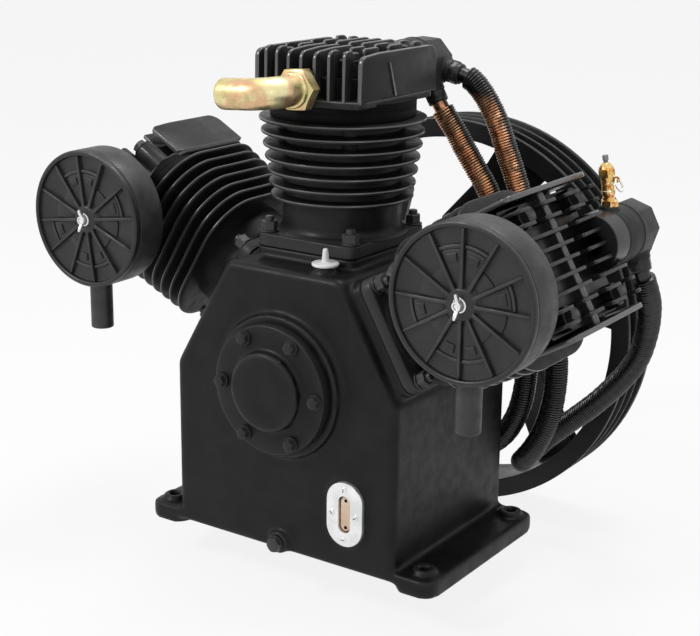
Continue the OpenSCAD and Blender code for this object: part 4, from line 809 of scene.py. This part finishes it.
def head(name):
    shape = Shape()
    at = bank(name) @ move(0, 0, HEAD_S)
    half, step, count = HEAD_HALF[name], FIN_STEP[name], FINS[name]
    bx, by = BOLT_AT[name]
    base = []
    for inset, z in ((1.2, -3.4), (0.2, -2.6), (0, -1.6), (0, 3.4), (0.6, 4.6), (2.0, 5.2), (7.0, 6.4), (9.0, 8),
                     (9.0, 27)):
        base.append([(x, y, z) for x, y in head_plan(name, inset)])
    part = loft(base)
    # The lip's top band gets the paler edge material as a painted highlight, and the core's top between the fins gets
    # the near-black as painted shade.
    shape.add(part, at, [2 if len(f) == 4 and i // len(base[0]) >= 6 else 1 if i // len(base[0]) == 3 else 0
                         for i, f in enumerate(part[1])])
    # Except on the right head, the fins' and side walls' edges get the paler edge material, as do the centre head's
    # ribs and the cross bar: painted highlight.
    for k in range(-count, count + 1):
        x = step * k
        notches = [(-10, 10, 35)]
        if abs(abs(x) - bx) < (13 if name != "left" else 10):
            d = math.sqrt(13.9 ** 2 - (abs(x) - bx) ** 2)
            floor = BOSS_TOP[name] - 0.5
            notches = [(-by - d, -by + d, floor)] + notches + [(by - d, by + d, floor)]
        outline = fin_side(name, x, notches)
        part = slab(outline, x, 3.9)
        shape.add(part, at, 0 if name == "right" else banded(part, len(outline), 0, 4))
    for side in (-1, 1):
        outline = fin_side(name, half - 3, [], 53)
        part = slab(outline, side * (half - 2.9), 5.4)
        shape.add(part, at, banded(part, len(outline), 0, 4))
        if name == "centre":
            rib = rounded([(-6, 6), (-2.5, 6), (-16, 42), (-18, 42)], [0, 0, 0.8, 0.8], 3)
            shape.add(across(rib, side * (half - 3), side * (half + 1.6)), at, 1)
    bar = arc(0, 33, 5.0, 0, 180, 12) + [(-4.6, 20), (4.6, 20)]
    shape.add(across(bar, 2 - half, half - 2), at, 1)
    top = BOSS_TOP[name]
    boss = lathe([(0, 4), (13.4, 4), (12.9, 20), (12.4, top - 2), (11.8, top - 0.5), (10.6, top), (0, top)], 40)
    for sx, sy in CORNERS:
        shape.add(boss, at @ move(bx * sx, by * sy, 0))
    front = HEAD_FRONT[name]
    shape.add(tube(17, 13, 50, front + 1.5, 0.8), at @ move(PORT_X[name], 0, PORT_S[name]) @ TO_FRONT)
    shape.add(tube(30.5, 13, 50, MANIFOLD_SEAT[name], 0.8, 64),
              at @ move(MANIFOLD_X[name], 0, MANIFOLD_S[name]) @ TO_Y)
    glossy = name == "right"
    shape.build("head_%s_look" % name, "pump_body", [GLOSS if glossy else IRON, HIGHLIT_RIM, SHADE_BLACK],
                ["head_" + name], sharp=44)


for name in BANKS:
    head(name)

# Manifolds

def manifold_at(name):
    return bank(name) @ move(MANIFOLD_X[name], 0, HEAD_S + MANIFOLD_S[name])


def manifold(name):
    shape = Shape()
    at = manifold_at(name) @ TO_Y
    seat = MANIFOLD_SEAT[name] + GASKET_T
    shape.add(lathe([(0, seat), (29, seat), (30.4, seat + 1.2), (31, seat + 3), (31, 115.2), (31.9, 115.8),
                     (31.9, 117.2), (31, 117.8), (0, 118)], 96), at)
    loops = []
    for r, z in ((30.6, 116.5), (31.5, 117.5), (31.5, 152), (30.8, 154), (27, 158.6), (25.4, 159.6), (23.5, 160)):
        outline = rounded([(x, y) for x, y in arc(0, 0, r, -20, 340, 8)[:-1]], 3.2, 4)
        loops.append([(x, y, z) for x, y in outline])
    shape.add(loft(loops), at)
    for angle, y in OUTLETS[name]:
        out = manifold_at(name) @ move(0, y - BANK_Y - SHIFT[name], 0) @ turn("Y", angle - LEAN[name])
        shape.add(lathe([(0, 8), (17.5, 22), (16, 27.5), (13.6, 30), (13, 31.5), (13, 35), (12.4, OUTLET_LEN),
                         (0, OUTLET_LEN)], 48), out)
    if name == "right":
        boss = manifold_at(name) @ move(0, 60 - BANK_Y + 27, 0) @ turn("Y", -60)
        shape.add(lathe([(0, 20), (13, 26), (11.6, 30), (11, 32.2), (10.4, 33), (0, 33)], 40), boss)
    shape.build("manifold_%s_look" % name, "pump_body", [MATT], ["manifold_" + name],
                sharp=36)


for name in BANKS:
    manifold(name)


# Intercooler pipes, with the routes of the part's source

RIGHT_ROUTE = [(78, 141, 511), (92, 142, 497), (104, 143, 479), (114, 143, 460), (123, 144, 436), (133, 145, 412),
               (150, 147, 366), (167, 149, 325), (182, 150, 282), (192, 150, 238), (197, 150, 192),
               (195, 150, 150), (186, 150, 114), (171, 152, 84), (155, 159, 64), (148, 171, 57), (153, 184, 64),
               (169, 192, 84), (194, 194, 108), (224, 193, 136), (250, 189, 164), (271, 184, 190),
               (287, 177, 217), (298, 166, 250), (306, 149, 280), (309, 131, 304)]
LEFT_ROUTE = [(47, 132, 473), (54, 134, 462), (62, 136, 450), (71, 137, 436), (87, 138, 413), (102, 140, 390),
              (119, 144, 350), (138, 148, 295), (151, 150, 240), (158, 150, 192), (156, 150, 152),
              (147, 150, 119), (129, 150, 90), (98, 150, 67), (52, 150, 54), (0, 150, 50), (-60, 150, 55),
              (-118, 152, 76), (-168, 156, 110), (-212, 162, 152), (-246, 168, 200), (-270, 172, 248),
              (-288, 173, 284)]


def outlet_point(name, outlet, s):
    lean, up, a = math.radians(LEAN[name]), HEAD_S + MANIFOLD_S[name], math.radians(outlet[0])
    return (MANIFOLD_X[name] * math.cos(lean) + up * math.sin(lean) + s * math.sin(a), outlet[1],
            CRANK_H - MANIFOLD_X[name] * math.sin(lean) + up * math.cos(lean) + s * math.cos(a))


def smooth_line(points, n):
    """A curve through all the points, n steps from each to the next."""
    out = []
    last = len(points) - 1
    for k in range(last):
        a, b, c, d = (Vector(points[i]) for i in (max(k - 1, 0), k, k + 1, min(k + 2, last)))
        for j in range(n):
            t = j / n
            out.append(0.5 * (2 * b + (c - a) * t + (2 * a - 5 * b + 4 * c - d) * t * t
                              + (3 * b - 3 * c + d - a) * t ** 3))
    out.append(Vector(points[-1]))
    return out


def along(line, lengths, s):
    """The place on the line at length s from its start."""
    lo, hi = 0, len(lengths) - 1
    while hi - lo > 1:
        mid = (lo + hi) // 2
        if lengths[mid] <= s:
            lo = mid
        else:
            hi = mid
    span = lengths[hi] - lengths[lo]
    return line[lo].lerp(line[hi], (s - lengths[lo]) / span if span else 0)


def finned_pipe(name, start, outlet_a, route, end, outlet_b, pitch=3.0):
    points = ([outlet_point(start, outlet_a, OUTLET_LEN + s) for s in (0.2, 6.5, 13)] + route
              + [outlet_point(end, outlet_b, OUTLET_LEN + s) for s in (13, 6.5, 0.2)])
    line = smooth_line(points, 10)
    lengths = [0]
    for a, b in zip(line, line[1:]):
        lengths.append(lengths[-1] + (b - a).length)
    total = lengths[-1]
    shape = Shape()
    # plain tube inside the fins
    count = int(total / 7)
    centre = [along(line, lengths, 2 + (total - 4) * k / count) for k in range(count + 1)]
    shape.add(sweep(centre, [9.0] * len(centre), 20))
    # fins, close rounded rings
    bare = 22
    fins = int((total - 2 * bare) / pitch)
    first = (total - fins * pitch) / 2
    stations, radii = [], []
    for k in range(fins + 1):
        s = first + k * pitch
        wobble = 0.18 * math.sin(k * 1.7) + 0.12 * math.sin(k * 0.37 + 1.2)
        for offset, r in ((-0.5, 11.5), (-0.26, 12.9), (0.0, 13.35), (0.26, 12.9)):
            stations.append(along(line, lengths, s + offset * pitch))
            radii.append(min(r + wobble, 13.5))
    shape.add(sweep(stations, radii, 24))
    # coupling nuts
    for at_start in (True, False):
        a = along(line, lengths, 0.0 if at_start else total)
        b = along(line, lengths, 12.0 if at_start else total - 12)
        d = (b - a).normalized()
        rot = Vector((0, 0, 1)).rotation_difference(d).to_matrix().to_4x4()
        at = Matrix.Translation(a) @ rot
        shape.add(hexagon(13.5, 9.5, 0.3), at, 1)
        shape.add(lathe([(0, 8), (11.8, 8), (11.8, 11.5), (10.6, 12.8), (9.6, 13), (0, 13.2)], 32), at, 1)
    shape.build(name + "_look", "pump_body", [PIPE, GLOSS], [name], sharp=70)


finned_pipe("intercooler_right", "centre", OUTLETS["centre"][0], RIGHT_ROUTE, "right", OUTLETS["right"][0])
finned_pipe("intercooler_left", "centre", OUTLETS["centre"][1], LEFT_ROUTE, "left", OUTLETS["left"][0])


# Filters

def filter_at(name):
    lean = math.radians(LEAN[name])
    return move(FILTER_S * math.sin(lean), BANK_Y + SHIFT[name] - FILTER_FRONT,
                CRANK_H + FILTER_S * math.cos(lean))


def filter_housing(shape, name):
    at = filter_at(name)
    back = at @ TO_Y
    shape.add(lathe([(0, 45), (76, 45), (76, 8.2), (77.2, 8.05), (78.4, 8.6), (79, 10), (79, 43), (78.3, 45.6),
                     (76.2, 47.4), (73.5, 48), (40, 48), (36, 48.6), (0, 48.6)], 128), back)
    lean = math.radians(LEAN[name])
    port = HEAD_S + PORT_S[name] - FILTER_S
    nip = at @ move(PORT_X[name] * math.cos(lean) + port * math.sin(lean), 0,
                    port * math.cos(lean) - PORT_X[name] * math.sin(lean)) @ TO_Y
    end = FILTER_FRONT - HEAD_FRONT[name] - 1.5 - 0.2
    shape.add(lathe([(0, 44), (15, 47), (18, 48.4), (17.6, 50.5), (15.6, 51.4), (15, 53), (15, end), (0, end)],
                    48), nip)
    length = CRANK_H + FILTER_S * math.cos(lean) - 222
    shape.add(lathe([(10, -length + 1), (10.8, -length), (12.3, -length), (13, -length + 0.8), (13, -80),
                     (13.6, -77), (15, -72), (10, -70)], 64, ring=True), at @ move(0, 24, 0))


housings = Shape()
for name in ("left", "right"):
    filter_housing(housings, name)
    housings.add(rod(3, -6, 44, 0.8, 24), filter_at(name) @ TO_Y, 1)
housings.build("filter_housings_look", "pump_body", [PLASTIC, PLATED], ["filter_housings"],
               sharp=40)


def sector(r0, r1, a0, a1, z0, z1, e=0.5, n=10):
    """A raised patch of the cover between two radii and two angles, with sloped edges."""
    def loop(inset, z):
        d0, d1 = math.degrees(inset / r0), math.degrees(inset / r1)
        pts = arc(0, 0, r1 - inset, a0 + d1, a1 - d1, n) + arc(0, 0, r0 + inset, a1 - d0, a0 + d0, n)
        return [(x, y, z) for x, y in pts]
    return loft([loop(0, z0), loop(0, z1 - e * 0.6), loop(e, z1)])


def filter_cover(name, phase):
    shape = Shape()
    at = filter_at(name) @ TO_FRONT @ turn("Z", phase)   # z runs out of the front, 0 at the rim's face
    shape.add(lathe([(3.1, -6.5), (73, -6.5), (75.6, -7.9), (77.6, -7.9), (78.6, -7.2), (79, -6), (79, -3.4),
                     (78.4, -1.4), (77, -0.3), (75.2, 0), (74.2, -0.25), (73.3, -1.1), (72.9, -3.4), (72.3, -4.9),
                     (71, -5.4), (30, -5.4), (17, -4.4), (15, -1.4), (13.8, -0.8), (3.1, -0.8)], 144, ring=True), at)
    for k in range(12):
        rib = []
        for r, z, w in ((13, -1.6, 1.9), (18, -0.5, 1.8), (40, -0.6, 1.6), (62, -0.9, 1.4), (70.5, -1.4, 1.2),
                        (72.6, -2.8, 1.0)):
            half = [(-w, -6.2), (-w, z - 0.6), (-w * 0.5, z)]
            rib.append([(r, y, h) for y, h in half] + [(r, -y, h) for y, h in reversed(half)])
        shape.add(loft(rib), at @ turn("Z", 30 * k), 1)
    # stepped patches between the ribs, and the two rings through them
    steps = (0.66, 0.50, 0.66, 0.66, 0.50, 0.58, 0.66, 0.50, 0.66, 0.66, 0.50, 0.60)
    for k, outer in enumerate(steps):
        a0, a1 = 30 * k + 3.0, 30 * k + 27.0
        r1 = outer * FILTER_R
        shape.add(sector(20, r1, a0, a1, -6.0, -3.9), at)
        if outer > 0.6:
            shape.add(sector(r1 + 1.4, r1 + 4.4, a0 - 1, a1 + 1, -6.0, -3.2, 0.7), at, 1)
            shape.add(sector(r1 - 11.5, r1 - 3.5, a0 + 5, a1 - 5, -4.4, -2.3, 0.7), at)
    shape.build("filter_cover_%s_look" % name, "filter_cover_" + name, [FACE, PLASTIC],
                ["filter_cover_" + name], sharp=34)


filter_cover("left", 8)
filter_cover("right", 0)


def wing_nut(name, spin):
    shape = Shape()
    at = filter_at(name) @ TO_FRONT
    shape.add(lathe([(3.1, -0.7), (7.2, -0.7), (7.2, 0.6), (6.2, 1.2), (5.2, 5.5), (4.6, 6.6), (3.1, 7)], 32,
                    ring=True), at)
    for side in (0, 180):
        wing = []
        for x, z0, z1, w in ((3.4, 0.9, 6.0, 2.6), (6.0, 1.4, 7.8, 2.4), (8.8, 2.6, 9.4, 2.2), (11.0, 4.2, 10.2, 1.9),
                             (12.4, 5.6, 10.0, 1.5), (13.0, 7.0, 9.0, 0.8)):
            mid, half = (z0 + z1) / 2, (z1 - z0) / 2
            wing.append([(x, w * math.cos(t), mid + half * math.sin(t))
                         for t in (2 * math.pi * q / 12 for q in range(12))])
        shape.add(loft(wing), at @ turn("Z", spin + side))
    shape.build("wing_nut_%s_look" % name, "wing_nut_" + name, [PLATED], ["wing_nut_" + name], sharp=40)


wing_nut("left", 88)
wing_nut("right", 88)


# Delivery elbow

def elbow():
    shape = Shape()
    front_y = HEAD_FRONT["centre"] + 1.7
    at = move(PORT_X["centre"], BANK_Y - front_y, CRANK_H + HEAD_S + PORT_S["centre"]) @ turn("Y", -4)
    front = at @ TO_FRONT
    shape.add(rod(12.9, -14, 1, 0.3), front)
    shape.add(hexagon(24, 14), front)
    shape.add(lathe([(0, 12), (18.8, 13.4), (19.2, 14.6), (19, 17.4), (18.0, 18.8), (17, 19.2), (0, 19.3)], 64), front)
    bend = 32.0
    path = [(Vector((0, -15, 0)), Vector((0, -1, 0)), 16.5), (Vector((0, -24, 0)), Vector((0, -1, 0)), 16.5)]
    for k in range(31):
        a = math.radians(3 * k)
        path.append((Vector((-26 + 26 * math.cos(a), -bend - 26 * math.sin(a), 0)),
                     Vector((-math.sin(a), -math.cos(a), 0)), 16.5))
    for x, r in ((-40, 16.5), (-54, 16.5), (-56.6, 16.1), (-58, 15.0), (-58, 11.6), (-57.4, 11), (-40, 11)):
        path.append((Vector((x, -bend - 26, 0)), Vector((-1, 0, 0)), r))
    loops = []
    for p, d, r in path:
        side = d.cross(Vector((0, 0, 1)))
        loops.append([p + (side * math.cos(t) + Vector((0, 0, 1)) * math.sin(t)) * r
                      for t in (2 * math.pi * q / 48 for q in range(48))])
    shape.add(loft(loops), at)
    # A near-black disc inside the elbow's open end: painted shade in the bore.
    shape.add(lathe([(0, 0), (11.2, 0), (11.2, 0.4), (0, 0.5)], 48), at @ move(-41, -bend - 26, 0) @ turn("Y", -90), 1)
    shape.build("delivery_elbow_look", "pump_body", [BRASS, SHADE_BLACK], ["delivery_elbow"], sharp=40)


elbow()


# Relief valve and its ring

RELIEF = manifold_at("right") @ move(0, 60 - BANK_Y + 27, 0) @ turn("Y", -60) @ move(0, 0, 33.02)
relief = Shape()
relief.add(hexagon(9.6, 6.4), RELIEF)
tilt = RELIEF @ turn("Y", -9)
relief.add(lathe([(0, 3), (6.0, 3), (6.0, 7.4), (6.8, 7.9), (6.8, 9.3), (5.6, 10), (5.6, 11), (6.8, 11.6), (6.8, 21),
                  (6.0, 21.6), (6.0, 22.4), (7.0, 23), (7.0, 29.4), (6.2, 30), (0, 30.2)], 40), tilt)
relief.add(hexagon(9.2, 9), tilt @ move(0, 0, 29.6))
relief.add(lathe([(0, 38), (8.0, 38), (7.8, 39.4), (5.0, 43.6), (3.8, 44.8), (0, 45)], 40), tilt)
relief.add(lathe([(0, 44), (2.4, 44), (2.4, 47), (3.1, 47.6), (3.1, 52.2), (2.5, 53), (0, 53)], 32), tilt, 1)
relief.add(tube(7.5, 6.6, 14.4, 16.2, 0.4, 40), tilt)
relief.add(tube(3.3, 1.8, -1.4, 1.4, 0.3, 32), tilt @ move(10.5, 0, 27) @ TO_Y)
relief.add(prism(round_rect(3.6, 4.6, 0.6, 2), -1.3, 1.3), tilt @ move(6.9, 0, 27) @ TO_Y)
relief.build("relief_valve_look", "pump_body", [VALVE, BARE], ["relief_valve"], sharp=36)
paint_all(NODES["relief_ring"].data, PLATED)


# Filler cap, sight glass

cap = Shape()
at = move(44, -98, CRANK_H + 128.5 + 8)
cap.add(rod(8, -14, 1, 0.8), at)
cap.add(lathe([(0, 0), (13.6, 0), (14.3, 0.5), (14.5, 1.3), (14.5, 2.4), (14.0, 3.1), (12.6, 3.5), (5.4, 3.9),
               (4.4, 4.6), (3.9, 6), (3.4, 11), (2.9, 16), (2.5, 17.7), (1.6, 18.4), (0, 18.6)], 64), at)
cap.build("oil_filler_cap_look", "oil_filler_cap", [WHITE], ["oil_filler_cap"], sharp=50)

sight = Shape()
at = move(90, CASE_FRONT - 3, 76) @ TO_FRONT
outer, inner = round_rect(46, 74, 22.9, 14), round_rect(15, 42, 7.4, 14)
loops = []
for inset, z in ((0, 0.0), (0, 3.8), (0.5, 4.6), (1.6, 5.0)):
    loops.append([(x * (1 - inset / 23), y * (1 - inset / 37), z) for x, y in outer])
for grow, z in ((0.9, 5.0), (0.2, 4.6), (0.0, 3.8), (0.0, 0.0)):
    loops.append([(x * (1 + grow / 7.5), y * (1 + grow / 21), z) for x, y in inner])
sight.add(loft(loops, ring=True), at)
for k, (x, y) in enumerate(((15.2, 0), (0, 28.5), (-15.2, 0), (0, -28.5))):
    s = at @ move(x, y, 5)
    sight.add(lathe([(0, -2), (3.3, -2), (3.3, 0.3), (3.0, 1.3), (2.2, 1.9), (1.2, 2.1), (0, 2.1)], 32), s)
    # The screws' slots are thin near-black bars on the heads: painted shade in the slots.
    sight.add(prism(round_rect(4.6, 0.8, 0.3, 2), 1.95, 2.25), s @ turn("Z", 35 + 50 * k), 1)
sight.build("sight_glass_plate", "pump_body", [PLATED, SHADE_BLACK], ["sight_glass_frame"], sharp=36)

lens = Shape()
pane = []
for inset, z in ((1.3, -3.0), (1.2, 1.4), (1.5, 1.9), (2.2, 2.0)):
    pane.append([(x * (1 - inset / 7.5), y * (1 - inset / 21), z) for x, y in inner])
lens.add(loft(pane), at)
# A near-black liner behind and round the pane shows as a dark gap: painted shade in the recess.
back_pane = []
for inset, z in ((0.2, -3.8), (0.05, -0.4), (1.0, 0)):
    back_pane.append([(x * (1 - inset / 7.5), y * (1 - inset / 21), z) for x, y in inner])
lens.add(loft(back_pane), at, 1)
for y in (-15.5, 15.5):
    lens.add(lathe([(0, 1.6), (1.9, 1.6), (1.9, 2.3), (1.5, 2.5), (0, 2.5)], 24), at @ move(0.5, y, 0), 1)
lens.build("sight_glass_window", "pump_body", [WINDOW, SHADE_BLACK], ["sight_glass_lens"], sharp=36)


# Floor, light and camera

def look_at(o, target):
    d = Vector(target) - o.location
    o.rotation_euler = d.to_track_quat("-Z", "Y").to_euler()


def seen_rays(tree):
    """1 for what the camera sees, straight, mirrored or through glass, and 0 for light on the part."""
    rays = tree.nodes.new("ShaderNodeLightPath").outputs
    value = rays["Is Camera Ray"]
    for kind in ("Is Glossy Ray", "Is Transmission Ray"):
        most = tree.nodes.new("ShaderNodeMath")
        most.operation = "MAXIMUM"
        tree.links.new(value, most.inputs[0])
        tree.links.new(rays[kind], most.inputs[1])
        value = most.outputs[0]
    return value


def emitter(tree, kind, colour, strength):
    n = tree.nodes.new(kind)
    n.inputs["Color"].default_value = (*colour, 1)
    n.inputs["Strength"].default_value = strength
    return n.outputs[0]


def mixed(tree, share, a, b):
    n = tree.nodes.new("ShaderNodeMixShader")
    for socket, value in zip(n.inputs, (share, a, b)):
        tree.links.new(value, socket)
    return n.outputs[0]


# The flywheel hangs below the feet, as over the edge of a bench, so the floor is at its rim
FLOOR = -0.0455
HALF_FLOOR = 30
floor_mesh = bpy.data.meshes.new("floor")
floor_mesh.from_pydata([(x * HALF_FLOOR, y * HALF_FLOOR, FLOOR) for x, y in ((-1, -1), (1, -1), (1, 1), (-1, 1))],
                       [], [(0, 1, 2, 3)])
floor = bpy.data.objects.new("floor", floor_mesh)
bpy.context.scene.collection.objects.link(floor)
pale = Paint("pale_floor")
pale.done(pale.blend(pale.spread(pale.noise(2, 2), 0, 1), (0.90, 0.90, 0.90), (0.93, 0.93, 0.93)), 0.9,
          Specular_IOR_Level=0.0)
share = pale.math("MULTIPLY", seen_rays(pale.tree), 0.86)
white = emitter(pale.tree, "ShaderNodeEmission", (1, 1, 1), 1.0)
surface = mixed(pale.tree, share, pale.shader.outputs[0], white)
pale.tree.links.new(surface, pale.tree.nodes["Material Output"].inputs["Surface"])
floor.data.materials.append(pale.material)

world = bpy.data.worlds.new("studio")
bpy.context.scene.world = world
world.use_nodes = True
sky = world.node_tree
sky.nodes.clear()
dim = emitter(sky, "ShaderNodeBackground", (0.95, 0.97, 1.0), 0.42)
white = emitter(sky, "ShaderNodeBackground", (1, 1, 1), 1.0)
out = sky.nodes.new("ShaderNodeOutputWorld")
sky.links.new(mixed(sky, seen_rays(sky), dim, white), out.inputs["Surface"])


def lamp(name, place, target, size, watts):
    data = bpy.data.lights.new(name, "AREA")
    data.energy = watts
    data.size = size
    o = bpy.data.objects.new(name, data)
    o.location = place
    bpy.context.scene.collection.objects.link(o)
    look_at(o, target)


lamp("key", (-1.3, -1.9, 2.1), (0, 0, 0.3), 0.6, 34)
lamp("fill", (1.9, -1.4, 1.2), (0, 0, 0.3), 0.7, 1.6)
lamp("top", (0.2, 0.5, 2.4), (0, 0, 0.3), 0.8, 24)

camera_data = bpy.data.cameras.new("camera")
camera_data.sensor_width = 36
camera_data.sensor_fit = "HORIZONTAL"
camera_data.lens = 77.76
camera_data.clip_start = 0.05
camera = bpy.data.objects.new("camera", camera_data)
bpy.context.scene.collection.objects.link(camera)
yaw, pitch, roll = math.radians(34.19), math.radians(16.3), math.radians(-0.68)
ahead = Vector((-math.sin(yaw) * math.cos(pitch), math.cos(yaw) * math.cos(pitch), -math.sin(pitch)))
right = Vector((math.cos(yaw), math.sin(yaw), 0))
down = ahead.cross(right)
x_axis = math.cos(roll) * right + math.sin(roll) * down
y_axis = -(-math.sin(roll) * right + math.cos(roll) * down)
matrix = Matrix((x_axis, y_axis, -ahead)).transposed().to_4x4()
matrix.translation = Vector((0.9319, -1.3578, 0.7319))
camera.matrix_world = matrix
bpy.context.scene.camera = camera
bpy.context.scene.view_settings.view_transform = "Standard"
